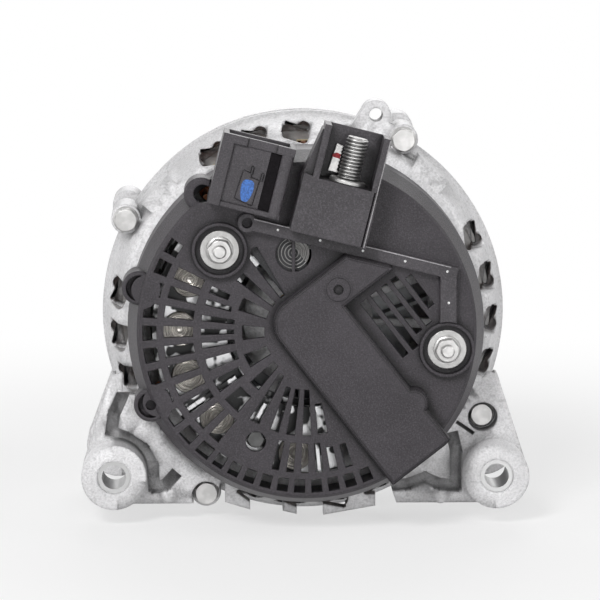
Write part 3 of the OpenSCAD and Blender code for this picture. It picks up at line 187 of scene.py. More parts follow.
class Bench:
    """One material under construction."""

    def __init__(self, name):
        self.material = bpy.data.materials.new(name)
        self.material.use_nodes = True
        self.tree = self.material.node_tree
        self.shader = self.tree.nodes["Principled BSDF"]
        self.place = self.add("ShaderNodeTexCoord", out="Object")

    def add(self, kind, settings=None, values=None, out=0):
        """Adds a node: settings are set first, then values or links go to its sockets."""
        node = self.tree.nodes.new(kind)
        for key, value in (settings or {}).items():
            setattr(node, key, value)
        for key, value in (values or {}).items():
            if isinstance(value, Wire):
                self.tree.links.new(value.socket, node.inputs[key])
            else:
                node.inputs[key].default_value = value
        return Wire(self, node.outputs[out])

    def noise(self, size, detail=2.0, roughness=0.5, place=None):
        """Cloudy pattern from 0 to 1 whose blotches are about size metres wide."""
        return self.add("ShaderNodeTexNoise", None, {
            "Vector": place or self.place, "Scale": 1 / size, "Detail": detail, "Roughness": roughness})

    def stretched(self, scale):
        """Object place multiplied by a vector, for brushed and layered patterns."""
        return self.add("ShaderNodeVectorMath", {"operation": "MULTIPLY"}, {0: self.place, 1: scale})

    def axis(self, index):
        """One coordinate of the object's place."""
        return self.add("ShaderNodeSeparateXYZ", None, {0: self.place}, out=index)

    def blend(self, mask, first, second):
        """Colour that goes from first to second with mask."""
        return self.add("ShaderNodeMix", {"data_type": "RGBA"}, {
            0: mask, 6: colour(first), 7: colour(second)}, out=2)

    def set(self, colour_value, roughness, metal=0.0, coat=0.0, coat_roughness=0.2):
        """Gives the shader its colour and gloss, each a value or a wire."""
        inputs = (("Base Color", colour_value), ("Roughness", roughness), ("Metallic", metal))
        for key, value in inputs:
            socket = self.shader.inputs[key]
            if isinstance(value, Wire):
                self.tree.links.new(value.socket, socket)
            else:
                socket.default_value = colour(value) if key == "Base Color" else value
        if coat:
            self.shader.inputs["Coat Weight"].default_value = coat
            self.shader.inputs["Coat Roughness"].default_value = coat_roughness

    def hollow_shade(self, reach):
        """1 deep in a corner or groove of the piece, 0 in the open, looked for over reach metres: the mask for
        painted shade in hollows.
        """
        return 1 - self.add("ShaderNodeAmbientOcclusion", {"only_local": True, "samples": 6},
                            {"Distance": reach}, out="AO")

    def bump(self, height, depth, edge=0.0):
        """The finished material, raised by height, from 0 to 1, times depth metres.

        edge is the radius that sharp edges seem to have."""
        values = {"Strength": 1.0, "Distance": depth, "Height": height}
        if edge:
            values["Normal"] = self.add("ShaderNodeBevel", {"samples": 4}, {"Radius": edge})
        bumped = self.add("ShaderNodeBump", None, values)
        self.tree.links.new(bumped.socket, self.shader.inputs["Normal"])
        return self.material


def colour(value):
    """A colour with its alpha, from a wire or from three numbers."""
    return value if isinstance(value, Wire) else tuple(value)[:3] + (1.0,)


def shade(value, factor):
    """The same colour, lighter or darker."""
    return tuple(min(1.0, v * factor) for v in tuple(value)[:3])


def cast_finish(name, base, grain, metal=0.35):
    """Blasted casting: fine pits, faint stains, a few darker specks and painted shade in corners and grooves."""
    bench = Bench(name)
    pits = bench.noise(grain, 3.0, 0.65)
    stains = bench.noise(0.02, 4.0, 0.6)
    specks = bench.noise(grain * 2.4, 2.0, 0.5).step(0.58, 0.74)
    tone = bench.blend(stains.step(0.3, 0.72), shade(base, 0.88), shade(base, 1.08))
    tone = bench.blend(pits.step(0.40, 0.64) * 0.42, tone, shade(base, 0.55))
    tone = bench.blend(specks * 0.4, tone, shade(base, 0.42))
    # Painted shade: corners and grooves darkened almost to black
    tone = bench.blend(bench.hollow_shade(0.010).step(0.12, 0.75) * 0.85, tone, shade(base, 0.12))
    bench.set(tone, 0.42 + pits * 0.22, metal)
    return bench.bump(pits * 0.7 + bench.noise(grain * 4, 2.0) * 0.3, 0.00040, 0.0013)


def plated_finish(name, base, roughness=0.34, fleck=0.0006, blotch_and_reflection=0.86):
    """Zinc-plated or pressed metal with fine flecks and painted shade in its corners.

    Cloudy patches are darkened by the given factor: on plated pieces they are soft and small, a tone
    that differs at random; where the factor is low they are crisp and large, painted reflections of
    dark things on a bright sheet."""
    bench = Bench(name)
    soft = blotch_and_reflection > 0.5
    clouds = bench.noise(0.004 if soft else 0.007, 2.0, 0.5)
    flecks = bench.noise(fleck, 2.0, 0.6)
    low, high = (0.36, 0.64) if soft else (0.49, 0.56)
    # Soft patches are random tone; crisp dark patches are painted reflections
    tone = bench.blend(clouds.step(low, high), shade(base, blotch_and_reflection), shade(base, 1.08))
    # Painted shade: corners and joins darkened almost to black
    tone = bench.blend(bench.hollow_shade(0.0025).step(0.15, 0.7) * 0.9, tone, shade(base, 0.12))
    bench.set(tone, roughness + flecks * 0.16, 0.92)
    return bench.bump(flecks, 0.00003, 0.0003)


def turned_finish(name, base, roughness=0.25):
    """Turned or ground steel: fine rings about the shaft."""
    bench = Bench(name)
    rings = bench.noise(0.001, 3.0, 0.6, bench.stretched((0.04, 1.6, 0.04)))
    tone = bench.blend(rings, shade(base, 0.85), shade(base, 1.1))
    bench.set(tone, roughness + rings * 0.15, 0.95)
    return bench.bump(rings, 0.00002)


def moulded_finish(name, base, grain, roughness=0.40, shine=0.25):
    """Moulded plastic: fine spark-eroded grain with slightly uneven gloss, and painted shade in its grooves and
    corners.
    """
    bench = Bench(name)
    bench.shader.inputs["Specular IOR Level"].default_value = shine
    pebble = bench.noise(grain, 2.0, 0.6)
    clouds = bench.noise(0.018, 3.0, 0.55)
    tone = bench.blend(clouds.step(0.3, 0.7), shade(base, 0.86), shade(base, 1.16))
    tone = bench.blend(pebble.step(0.50, 0.68) * 0.4, tone, shade(base, 2.3))
    tone = bench.blend((1 - pebble).step(0.54, 0.72) * 0.45, tone, shade(base, 0.4))
    # Painted shade: grooves and corners darkened almost to black
    tone = bench.blend(bench.hollow_shade(0.005).step(0.08, 0.55) * 0.95, tone, shade(base, 0.06))
    bench.set(tone, roughness + clouds * 0.12 - pebble * 0.08)
    return bench.bump(pebble, 0.00016, 0.0007)


def copper_finish(name, base):
    """Enamelled winding wire: a clear coat over copper, darker where varnish has pooled."""
    bench = Bench(name)
    varnish = bench.noise(0.006, 3.0, 0.6)
    tone = bench.blend(varnish.step(0.35, 0.7), base, shade(base, 0.55))
    bench.set(tone, 0.32 + varnish * 0.2, 0.75, coat=0.5)
    return bench.bump(bench.noise(0.0012), 0.00005)


def paint_finish(name, base):
    """A dab of marking paint, a little uneven."""
    bench = Bench(name)
    film = bench.noise(0.0007, 3.0, 0.6)
    tone = bench.blend(film.step(0.35, 0.65), shade(base, 0.55), shade(base, 1.2))
    bench.set(tone, 0.5 + film * 0.15)
    return bench.bump(film, 0.00004)


def sheet_stack_finish(name, base, pitch=0.0005):
    """Edges of stacked core sheets: fine lines across the shaft, with traces of varnish."""
    bench = Bench(name)
    along = bench.axis(1)
    lines = (along / pitch).sum("FRACT", 0.0).step(0.0, 0.5)
    marks = bench.noise(0.004, 3.0, 0.6, bench.stretched((1.0, 3.0, 1.0)))
    tone = bench.blend(marks.step(0.35, 0.7), shade(base, 0.7), shade(base, 1.15))
    tone = bench.blend(lines * 0.5, shade(base, 0.5), tone)
    bench.set(tone, 0.45 + marks * 0.2, 0.8)
    return bench.bump(lines, 0.00006)


def paper_finish(name, base):
    """Insulating paper and pale plastic."""
    bench = Bench(name)
    fibres = bench.noise(0.0012, 4.0, 0.7)
    bench.set(bench.blend(fibres, shade(base, 0.82), base), 0.62 + fibres * 0.15)
    return bench.bump(fibres, 0.00004)


def carbon_finish(name, base):
    """Pressed carbon: matt with metal glints."""
    bench = Bench(name)
    glints = bench.noise(0.0003, 2.0, 0.6)
    tone = bench.blend(glints.step(0.62, 0.7), base, (0.25, 0.16, 0.1))
    bench.set(tone, 0.5 + glints * 0.2, 0.2)
    return bench.bump(glints, 0.00002)


# ---------------------------------------------------------------- meshes

def at_row(points):
    """Drawing's millimetres (right, up, towards the cover) to metres in the row's frame."""
    points = np.asarray(points, float)
    return np.stack([points[..., 0], RIM_Y - points[..., 2], SHAFT_Z + points[..., 1]], -1) / 1000


def top_of(node):
    """The drawing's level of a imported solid's end on the cover's side."""
    return RIM_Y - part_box(node)[0][1] * 1000


def foot_of(node):
    """The drawing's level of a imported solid's end on the pulley's side."""
    return RIM_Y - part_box(node)[1][1] * 1000


def net(rows, columns):
    """Quads between neighbouring points of a grid whose last column joins its first."""
    row, column = np.meshgrid(np.arange(rows - 1), np.arange(columns), indexing="ij")
    beside = (column + 1) % columns
    return np.stack([row * columns + column, row * columns + beside,
                     (row + 1) * columns + beside, (row + 1) * columns + column], -1).reshape(-1, 4)


def skin(grid):
    """Closed skin over a grid of rings (rows, columns, 3): quads and a flat cap at each end."""
    rows, columns = grid.shape[:2]
    faces = net(rows, columns).tolist()
    faces.append(list(range(columns))[::-1])
    faces.append([(rows - 1) * columns + i for i in range(columns)])
    return grid.reshape(-1, 3), faces


def skin_set(tubes):
    """Closed skins over a set of tubes (count, steps, sides, 3)."""
    count, steps, sides = tubes.shape[:3]
    first = np.arange(count)[:, None] * steps * sides
    faces = (net(steps, sides)[None] + first[:, None]).reshape(-1, 4).tolist()
    start = first + np.arange(sides)[None, ::-1]
    end = first + (steps - 1) * sides + np.arange(sides)[None, :]
    return tubes.reshape(-1, 3), faces + start.tolist() + end.tolist()


def many(shapes):
    """Joins (points, faces) pairs into one pair."""
    points, faces, count = [], [], 0
    for shape_points, shape_faces in shapes:
        points.append(shape_points)
        faces += [[i + count for i in face] for face in shape_faces]
        count += len(shape_points)
    return np.concatenate(points), faces


def lathe(profile, turns=48):
    """Rings whose radius and level follow a profile of (radius, level) pairs."""
    profile = np.asarray(profile, float)
    angle = np.linspace(0, 2 * np.pi, turns, endpoint=False)
    return np.stack([profile[:, :1] * np.cos(angle), profile[:, :1] * np.sin(angle),
                     np.repeat(profile[:, 1:], turns, 1)], -1)


def threaded(radius, low, high, pitch, depth, turns=48, chamfer=0.6):
    """Threaded rod: the radius falls by a triangle wave of level minus angle times pitch.

    The wave is cut flat at its crest and its root, and the high end is chamfered."""
    rows = max(8, int((high - low) / pitch * 8))
    level = np.linspace(low, high, rows)[:, None]
    angle = np.linspace(0, 2 * np.pi, turns, endpoint=False)[None, :]
    phase = (level / pitch - angle / (2 * np.pi)) % 1.0
    notch = depth * np.clip(1.35 - np.abs(phase * 2 - 1) * 2.1, 0, 1)
    end = np.clip(1 - (high - level) / chamfer, 0, 1) * chamfer
    size = np.minimum(radius - notch, radius - end)
    return np.stack([size * np.cos(angle), size * np.sin(angle), level + 0 * angle], -1)


def hexagon_block(across, low, high, chamfer=0.55, turns=72):
    """Hexagon whose corners are cut by a cone at both ends: the smaller radius of the two wins."""
    steps = np.array([0, 0.5, 1]) * chamfer
    level = np.concatenate([low + steps, high - steps[::-1]])[:, None]
    angle = np.linspace(0, 2 * np.pi, turns, endpoint=False)[None, :]
    flat = across / 2 / np.cos((angle + np.pi / 6) % (np.pi / 3) - np.pi / 6)
    near = np.minimum(level - low, high - level)
    end_radius, spread = across / 2 * 0.97, across / 2 * 0.19
    size = np.minimum(flat, end_radius + near / chamfer * spread)
    return np.stack([size * np.cos(angle), size * np.sin(angle), level + 0 * angle], -1)


def plate(outline, level, thickness, sunk=0.1):
    """Two rings of the same outline: the lower one just under level, the upper one above it."""
    return np.stack([np.column_stack([outline, np.full(len(outline), z)])
                     for z in (level - sunk, level + thickness)])


def bead(left, right, low, high, level, rise, sunk=0.2):
    """Half-round bar along the second axis: the level rises by the square root of a parabola."""
    across = np.concatenate([np.linspace(left, right, 15), [right, left]])
    part = (across - left) / (right - left) * 2 - 1
    height = level + rise * np.sqrt(np.clip(1 - part ** 2, 0, 1))
    height[-2:] = level - sunk
    return np.stack([np.stack([across, np.full(len(across), y), height], -1)
                     for y in (high, low)])


def ringed(radii, face, depth, pitch, start=0.0):
    """Profile of a face with turned rings: a cosine wave of the radius, whose crests lie at face."""
    wave = np.cos((radii - start) * 2 * np.pi / pitch)
    return np.column_stack([radii, face - depth + depth * wave])


def ring_of(grid, circle, angles):
    """Closed copies of a grid, standing on a circle about the shaft at the given degrees."""
    return [skin(moved(grid, (circle * math.cos(math.radians(a)),
                              circle * math.sin(math.radians(a)), 0))) for a in angles]


def moved(grid, place):
    """The grid shifted by a vector in millimetres."""
    return grid + np.asarray(place, float)


def turned(grid, degrees):
    """The grid turned about the shaft."""
    c, s = math.cos(math.radians(degrees)), math.sin(math.radians(degrees))
    return np.stack([grid[..., 0] * c - grid[..., 1] * s, grid[..., 0] * s + grid[..., 1] * c,
                     grid[..., 2]], -1)


def tube_along(paths, radius, sides=7):
    """Round tubes along many paths at once: paths is (count, steps, 3), in millimetres."""
    ahead = np.gradient(paths, axis=1)
    ahead /= np.linalg.norm(ahead, axis=-1, keepdims=True)
    outward = paths * np.array([1, 1, 0])
    outward /= np.linalg.norm(outward, axis=-1, keepdims=True) + 1e-9
    across = np.cross(ahead, outward)
    across /= np.linalg.norm(across, axis=-1, keepdims=True) + 1e-9
    normal = np.cross(across, ahead)
    angle = np.linspace(0, 2 * np.pi, sides, endpoint=False)
    ring = (across[:, :, None, :] * np.cos(angle)[None, None, :, None]
            + normal[:, :, None, :] * np.sin(angle)[None, None, :, None])
    return paths[:, :, None, :] + radius * ring


def smoothed(item, degrees):
    """Smooth shading over edges that turn by less than degrees."""
    bpy.context.view_layer.objects.active = item
    item.select_set(True)
    bpy.ops.object.shade_smooth_by_angle(angle=math.radians(degrees))
    item.select_set(False)


def mounted(name, mesh, body, replaces):
    """Puts a mesh into the scene on a body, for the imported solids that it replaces."""
    item = bpy.data.objects.new(name, mesh)
    bpy.context.scene.collection.objects.link(item)
    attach(item, body)
    if replaces:
        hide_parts(*replaces)
    return item


def piece(name, shape, body, material, replaces=(), smooth=True):
    """Makes a piece from points and faces in the drawing's millimetres."""
    points, faces = shape
    mesh = bpy.data.meshes.new(name)
    mesh.from_pydata(at_row(points).tolist(), [], faces)
    mesh.validate()
    mesh.polygons.foreach_set("use_smooth", [smooth] * len(mesh.polygons))
    mesh.materials.append(material)
    item = mounted(name, mesh, body, replaces)
    if smooth:
        smoothed(item, 35)
    return item


def merged(name, node, material, sharp=30):
    """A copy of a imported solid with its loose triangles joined; it stands for the solid."""
    mesh = NODES[node].data.copy()
    mesh.name = name
    work = bmesh.new()
    work.from_mesh(mesh)
    bmesh.ops.remove_doubles(work, verts=work.verts, dist=1e-6)
    work.to_mesh(mesh)
    work.free()
    mesh.materials.clear()
    mesh.materials.append(material)
    item = mounted(name, mesh, "housing", [node])
    smoothed(item, sharp)
    return item


def carve(item, tools):
    """Cuts closed shapes out of a piece."""
    mesh = bpy.data.meshes.new("blade")
    mesh.from_pydata(at_row(tools[0]).tolist(), [], tools[1])
    blade = bpy.data.objects.new("blade", mesh)
    bpy.context.scene.collection.objects.link(blade)
    cut = item.modifiers.new("cut", "BOOLEAN")
    cut.operation = "DIFFERENCE"
    cut.solver = "EXACT"
    cut.use_self = True
    cut.object = blade
    bpy.context.view_layer.objects.active = item
    bpy.ops.object.modifier_apply(modifier="cut")
    smoothed(item, 30)
    bpy.data.objects.remove(blade)
    bpy.data.meshes.remove(mesh)


def dress(material, *names):
    """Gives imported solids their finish."""
    for name in names:
        slots = NODES[name].data.materials
        slots.clear()
        slots.append(material)


# ---------------------------------------------------------------- operators

class ALTERNATOR_OT_stage(bpy.types.Operator):
    """Adds the floor, the lamps, the white surroundings and the camera"""
    bl_idname = "alternator.stage"
    bl_label = "Stage"

    def execute(self, context):
        look = context.scene.alternator_stage
        place = Vector(at_row(CAMERA_PLACE))
        target = Vector(at_row(CAMERA_TARGET))
        data = bpy.data.cameras.new("camera")
        data.lens = look.lens
        data.sensor_width = 36.0
        data.clip_end = 20.0
        camera = bpy.data.objects.new("camera", data)
        camera.location = place
        camera.rotation_euler = (target - place).to_track_quat("-Z", "Y").to_euler()
        context.scene.collection.objects.link(camera)
        context.scene.camera = camera
        for name, where, size, share in LAMPS:
            lamp = bpy.data.lights.new(name, "AREA")
            lamp.size = size
            lamp.energy = look.side_power * share if share else look.key_power
            item = bpy.data.objects.new(name, lamp)
            item.location = where
            item.rotation_euler = (LAMP_TARGET - item.location).to_track_quat("-Z", "Y").to_euler()
            context.scene.collection.objects.link(item)
        self.floor(context, look)
        self.surroundings(context)
        context.scene.view_settings.view_transform = "Standard"
        return {"FINISHED"}

    def floor(self, context, look):
        """A round plain floor: near the part mostly white with its shadow, far off all white.

        The white is added only where the camera or gloss looks, so it lights nothing else."""
        bench = Bench("pale_floor")
        bench.set(look.floor_colour, 0.8)
        bench.bump(bench.noise(0.05), 0.00002)
        length = bench.add("ShaderNodeVectorMath", {"operation": "LENGTH"}, {0: bench.place},
                           out="Value")
        camera = bench.add("ShaderNodeLightPath", out="Is Camera Ray")
        glossy = bench.add("ShaderNodeLightPath", out="Is Glossy Ray")
        far = (length.step(0.14, 0.45) * 0.4 + 0.6) * camera.sum("MAXIMUM", glossy)
        white = bench.add("ShaderNodeEmission", None, {"Color": (1, 1, 1, 1), "Strength": 1.0})
        mixed = bench.add("ShaderNodeMixShader", None, {
            0: far, 1: Wire(bench, bench.shader.outputs[0]), 2: white})
        output = bench.tree.nodes["Material Output"]
        bench.tree.links.new(mixed.socket, output.inputs["Surface"])
        mesh = bpy.data.meshes.new("floor")
        rings = lathe([(0.00001, 0.0), (0.4, 0.0), (3.0, 0.0)], 64)
        mesh.from_pydata(rings.reshape(-1, 3).tolist(), [], net(3, 64).tolist())
        mesh.materials.append(bench.material)
        floor = bpy.data.objects.new("floor", mesh)
        context.scene.collection.objects.link(floor)

    def surroundings(self, context):
        """White where the camera, gloss or glass looks; a plain soft light elsewhere."""
        world = bpy.data.worlds.new("surroundings")
        context.scene.world = world
        world.use_nodes = True
        tree = world.node_tree
        back = tree.nodes["Background"]
        ray = tree.nodes.new("ShaderNodeLightPath")
        seen = ray.outputs["Is Camera Ray"]
        for other in ("Is Glossy Ray", "Is Transmission Ray"):
            either = tree.nodes.new("ShaderNodeMath")
            either.operation = "MAXIMUM"
            tree.links.new(seen, either.inputs[0])
            tree.links.new(ray.outputs[other], either.inputs[1])
            seen = either.outputs[0]
        level = tree.nodes.new("ShaderNodeMapRange")
        tree.links.new(seen, level.inputs["Value"])
        level.inputs["To Min"].default_value = WORLD_LEVEL
        level.inputs["To Max"].default_value = 1.0
        tree.links.new(level.outputs[0], back.inputs["Strength"])
        back.inputs["Color"].default_value = (1, 1, 1, 1)


class ALTERNATOR_OT_castings(bpy.types.Operator):
    """Finishes both brackets and the ear bushes, and deepens the rim's windows"""
    bl_idname = "alternator.castings"
    bl_label = "Castings"

    def execute(self, context):
        look = context.scene.alternator_metal
        casting = cast_finish("blasted_casting", look.cast_colour, look.grain)
        rim = merged("rear_bracket_rim", "rear_bracket", casting)
        carve(rim, self.gaps())
        merged("front_bracket_shell", "front_bracket", casting)
        dress(turned_finish("turned_bush", look.steel_colour), "mount_bushes")
        return {"FINISHED"}

    def gaps(self, count=27, slant=20.0, rim_radius=66.5, above=30.0):
        """Two cuts in each window of the rim: a wide one down to the core and a narrow deep one.

        Each outline is a rectangle with round corners: a corner's circle plus the sign of its
        cosine and sine times the rest of the side. A window is left out where a bolt, a pad or
        an ear stands, which are given with the degrees they keep clear on each side."""
        pads, ears = (49, 139), (219, 321)
        angles = np.arange(count) * 360 / count
        room = [np.abs((angles[:, None] - np.array(spots) + 180) % 360 - 180).min(1) - clear
                for spots, clear in ((BOLT_ANGLES, 9.5), (ears, 17), (pads, 9))]
        free = angles[np.min(room, 0) > 0]
        turn = np.linspace(0, 2 * np.pi, 32, endpoint=False) + 0.01
        cuts = []
        for low, high, half, corner, foot in ((-0.6, 3.7, 5.0, 1.7, 6.6), (3.3, 4.8, 4.6, 0.7, 0.8)):
            across = (low + high) / 2 + np.sign(np.cos(turn)) * ((high - low) / 2 - corner)
            along = np.sign(np.sin(turn)) * (half - corner)
            outline = np.stack([across + corner * np.cos(turn), along + corner * np.sin(turn)], -1)
            grid = moved(turned(plate(outline, foot, above - foot), -slant), (rim_radius, 0, 0))
            cuts += [skin(turned(grid, a)) for a in free]
        return many(cuts)


class ALTERNATOR_OT_stator(bpy.types.Operator):
    """Finishes the core and weaves the wires of the end turns"""
    bl_idname = "alternator.stator"
    bl_label = "Stator"

    def execute(self, context):
        look = context.scene.alternator_metal
        sizes = context.scene.alternator_detail
        dress(sheet_stack_finish("core_sheets", (0.46, 0.455, 0.45)), "stator_core")
        copper = copper_finish("winding_wire", look.copper_colour)
        dress(copper, "phase_leads", "field_coil")
        dress(paper_finish("slot_paper", (0.62, 0.52, 0.33)), "slot_liners")
        wires = self.end_turns(sizes.wire_radius * 1000, sizes.wire_layers)
        piece("winding_wires", many([skin_set(tubes) for tubes in wires]), "housing",
              copper, ["stator_winding"])
        return {"FINISHED"}

    def end_turns(self, radius, layers, slots=36, reach=3, inner=54.6, outer=63.6):
        """Each wire leaves a slot, leans over three slots in an arch and goes back into the core."""
        step = np.linspace(0, 1, 15)[None, :]
        first = np.arange(slots)[:, None] * 360 / slots
        ease = 3 * step ** 2 - 2 * step ** 3
        for level, way in ((top_of("stator_core"), 1), (foot_of("stator_core"), -1)):
            for layer in range(layers):
                lean = way * (1 if layer % 2 else -1)
                angle = np.radians(first + lean * reach * 360 / slots * ease)
                size = inner + (outer - inner) * (layer + 0.5) / layers
                size = size + 0.8 * np.cos(2 * np.pi * step) + 0 * angle
                rise = -1.5 + (14.6 - layer * 0.7) * np.sin(np.pi * step) ** 0.55
                height = level + way * rise + 0 * angle
                paths = np.stack([size * np.cos(angle), size * np.sin(angle), height], -1)
                yield tube_along(paths, radius)


class ALTERNATOR_OT_cover(bpy.types.Operator):
    """Finishes the rear cover and adds a dark disc in two edge caps as painted shade for their crescent slots"""
    bl_idname = "alternator.cover"
    bl_label = "Rear cover"

    def execute(self, context):
        look = context.scene.alternator_plastic
        plastic = moulded_finish("cover_plastic", look.cover_colour, look.mould_grain)
        dress(plastic, "rear_cover")
        self.cap_floors(plastic)
        return {"FINISHED"}

    def cap_floors(self, plastic):
        """A low dark disc inside each of the two edge caps that have a crescent slot: painted shade, put there so
        that the slot looks dark.
        """
        face = foot_of("cover_washers")
        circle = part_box("rear_cover")[1][0] * 1000 - 2.4
        disc = lathe([(4.95, face - 7.0), (4.95, face - 6.2), (4.4, face - 5.8)], 32)
        piece("cap_floors", many(ring_of(disc, circle, CAP_ANGLES)), "housing",
              plastic)


class ALTERNATOR_OT_terminals(bpy.types.Operator):
    """Finishes the terminals, threads the battery stud and adds the fine marks, strips of painted shade and beads
    of painted highlight
    """
    bl_idname = "alternator.terminals"
    bl_label = "Terminals"

    def execute(self, context):
        plastic = context.scene.alternator_plastic
        metal = context.scene.alternator_metal
        sizes = context.scene.alternator_detail
        block = moulded_finish("terminal_plastic", plastic.block_colour, plastic.mould_grain,
                               roughness=0.36)
        dress(block, "terminal_block", "plug_socket")
        brass = plated_finish("brass_plate", (0.58, 0.42, 0.19), 0.3)
        dress(brass, "socket_pins", "terminal_strip")
        zinc = plated_finish("stud_zinc", metal.zinc_colour)
        self.stud(sizes, zinc)
        self.marks(paint_finish("blue_dab", plastic.blue_colour),
                   paint_finish("white_dots", (0.8, 0.8, 0.8)))
        self.relief(block)
        self.tab(zinc, paint_finish("red_dab", (0.42, 0.02, 0.03)))
        return {"FINISHED"}

    def recess(self):
        """Level of the panel inside the plug socket."""
        return top_of("plug_socket") - 1.45

    def flat(self, name, outline, level, thickness, slot, material, smooth=True):
        """A thin piece with a given outline in the terminals' tilted frame."""
        piece(name, skin(turned(plate(np.array(outline), level, thickness), TILT)), "housing",
              material, smooth=smooth)

    def marks(self, blue, white):
        """A dab of paint in the socket's recess and six small dots on the rail.

        The dab is an oval, blunt at the top, whose half width grows with its height."""
        turn = np.linspace(0, 2 * np.pi, 40, endpoint=False)
        blunt = np.sign(np.cos(turn)) * np.abs(np.cos(turn)) ** 0.6
        oval = np.stack([-33.9 + (2.2 + 0.5 * np.sin(turn)) * blunt, 45.7 + 4.0 * np.sin(turn)], -1)
        self.flat("blue_dab", oval, self.recess() + 0.3, 0.06, "terminal_plastic", blue)
        rail = foot_of("cover_washers") + 4.05
        spots = turned(np.array([[a, 33.8, rail] for a in (-19.3, -3.6, 12.2, 27.9, 43.6)]), TILT)
        spots = np.concatenate([spots, [[51.0, 10.8, rail]]])
        disc = lathe([(0.45, -0.2), (0.45, 0.03), (0.36, 0.06)], 20)
        piece("rail_dots", many([skin(moved(disc, spot)) for spot in spots]), "housing",
              white)

    def relief(self, block):
        """The socket's panel, low steps, a dark strip of painted shade and round lip, pale beads of painted
        highlight on the rail's edge and the block's ridge, and a dark strip of painted shade for the block's
        groove.
        """
        recess = self.recess()
        front = top_of("terminal_block")
        rail = foot_of("cover_washers") + 4.0
        # Near-black plastic for strips of painted shade
        dark = moulded_finish("shaded_plastic", (0.006, 0.005, 0.006), 0.0006, shine=0.05)
        # Pale plastic for painted highlights along the rail's edge and the block's ridge
        gloss = moulded_finish("edge_plastic", (0.34, 0.33, 0.34), 0.0009, roughness=0.3)
        # A near-black strip across the socket's panel: painted shade for the dark band beside the lip
        strip = [(-28.6, 40.1), (-24.5, 40.1), (-24.5, 61.1), (-28.6, 61.1)]
        self.flat("socket_strip", strip, recess, 0.03, "terminal_plastic", dark)
        # Painted highlight along the rail's upper edge; the ridge is a painted highlight on the block's face
        edge = bead(35.35, 35.8, -44.5, 28.5, rail, 0.2)
        edge = np.stack([-edge[..., 1], edge[..., 0], edge[..., 2]], -1)[:, ::-1]
        ridge_highlight = bead(11.25, 11.6, 36.0, 75.6, front, 0.03)
        piece("moulded_edges", many([skin(turned(edge, TILT)), skin(turned(ridge_highlight, TILT))]),
              "housing", gloss)
        # A thin dark strip on the block's face: painted shade where a groove would be
        groove = [(10.3, 36.1), (10.9, 36.1), (10.9, 56.2), (10.3, 56.2)]
        self.flat("block_groove", groove, front, 0.02, "terminal_plastic", dark)
        panel = [(-42.3, 40.0), (-24.5, 40.0), (-24.5, 61.2), (-42.3, 61.2)]
        step = [(-37.4, 42.2), (-30.9, 41.0), (-30.4, 50.2), (-33.6, 50.6), (-33.6, 52.0),
                (-36.6, 52.6)]
        bars = [[(x, y), (x + 0.5, y), (x + 0.5, y + 2.6), (x, y + 2.6)]
                for x, y in ((-33.9, 52.0), (-29.9, 50.4))]
        grids = [plate(np.array(panel), recess - 0.04, 0.04),
                 bead(-24.6, -20.3, 38.5, 64.0, recess + 0.45, 1.0),
                 plate(np.array(step), recess, 0.3)]
        grids += [plate(np.array(bar), recess, 0.8) for bar in bars]
        piece("socket_relief", many([skin(turned(grid, TILT)) for grid in grids]), "housing",
              block)

    def tab(self, zinc, red, height=2.6, points=15):
        """A flat tab on the pocket's floor beside the stud, notched along the thread, with a red dab."""
        floor = foot_of("battery_stud") - 0.3
        rise = np.linspace(59.6, 68.6, points)
        notches = np.column_stack([-3.6 - 0.55 * (np.arange(points) % 2), rise])
        outline = np.concatenate([[[-7.0, 59.0], [-3.6, 59.0]], notches, [[-6.2, 69.2]]])
        self.flat("stud_tab", outline, floor, height, "zinc_steel", zinc, smooth=False)
        dab = [(-6.9, 64.2), (-4.0, 64.0), (-3.9, 65.6), (-5.4, 66.0), (-6.7, 65.4)]
        self.flat("red_dab", dab, floor + height, 0.05, "zinc_steel", red)

    def stud(self, sizes, zinc):
        """The battery stud: a thread with a chamfered end above a flange, along the record's mount."""
        stud = next(m for m in frame["record"]["mounts"] if m["name"] == "battery_stud")
        middle = np.array(stud["pos_m"]) * 1000
        axis = np.array(stud["axis"])
        radius = stud["dims"]["r_mm"]
        end = stud["dims"]["length_mm"] / 2
        seat = -end
        rod = threaded(radius - 0.02, seat, end + 0.98, sizes.thread_pitch * 1000, 0.62)
        flange = lathe([(6.2, seat - 1.6), (6.55, seat - 1.3), (6.55, seat - 0.3), (6.2, seat)])
        shank = lathe([(radius - 0.05, seat - 6.5), (radius - 0.05, seat - 1.5)])
        points, faces = many([skin(rod), skin(flange), skin(shank)])
        side = np.array([axis[2], 0.0, -axis[0]])
        depth = np.cross(axis, side)
        world = middle + points[:, :1] * side + points[:, 1:2] * depth + points[:, 2:] * axis
        local = np.stack([world[:, 0], world[:, 2] - SHAFT_Z, RIM_Y - world[:, 1]], -1)
        piece("battery_stud_thread", (local, faces), "housing", zinc, ["battery_stud"])


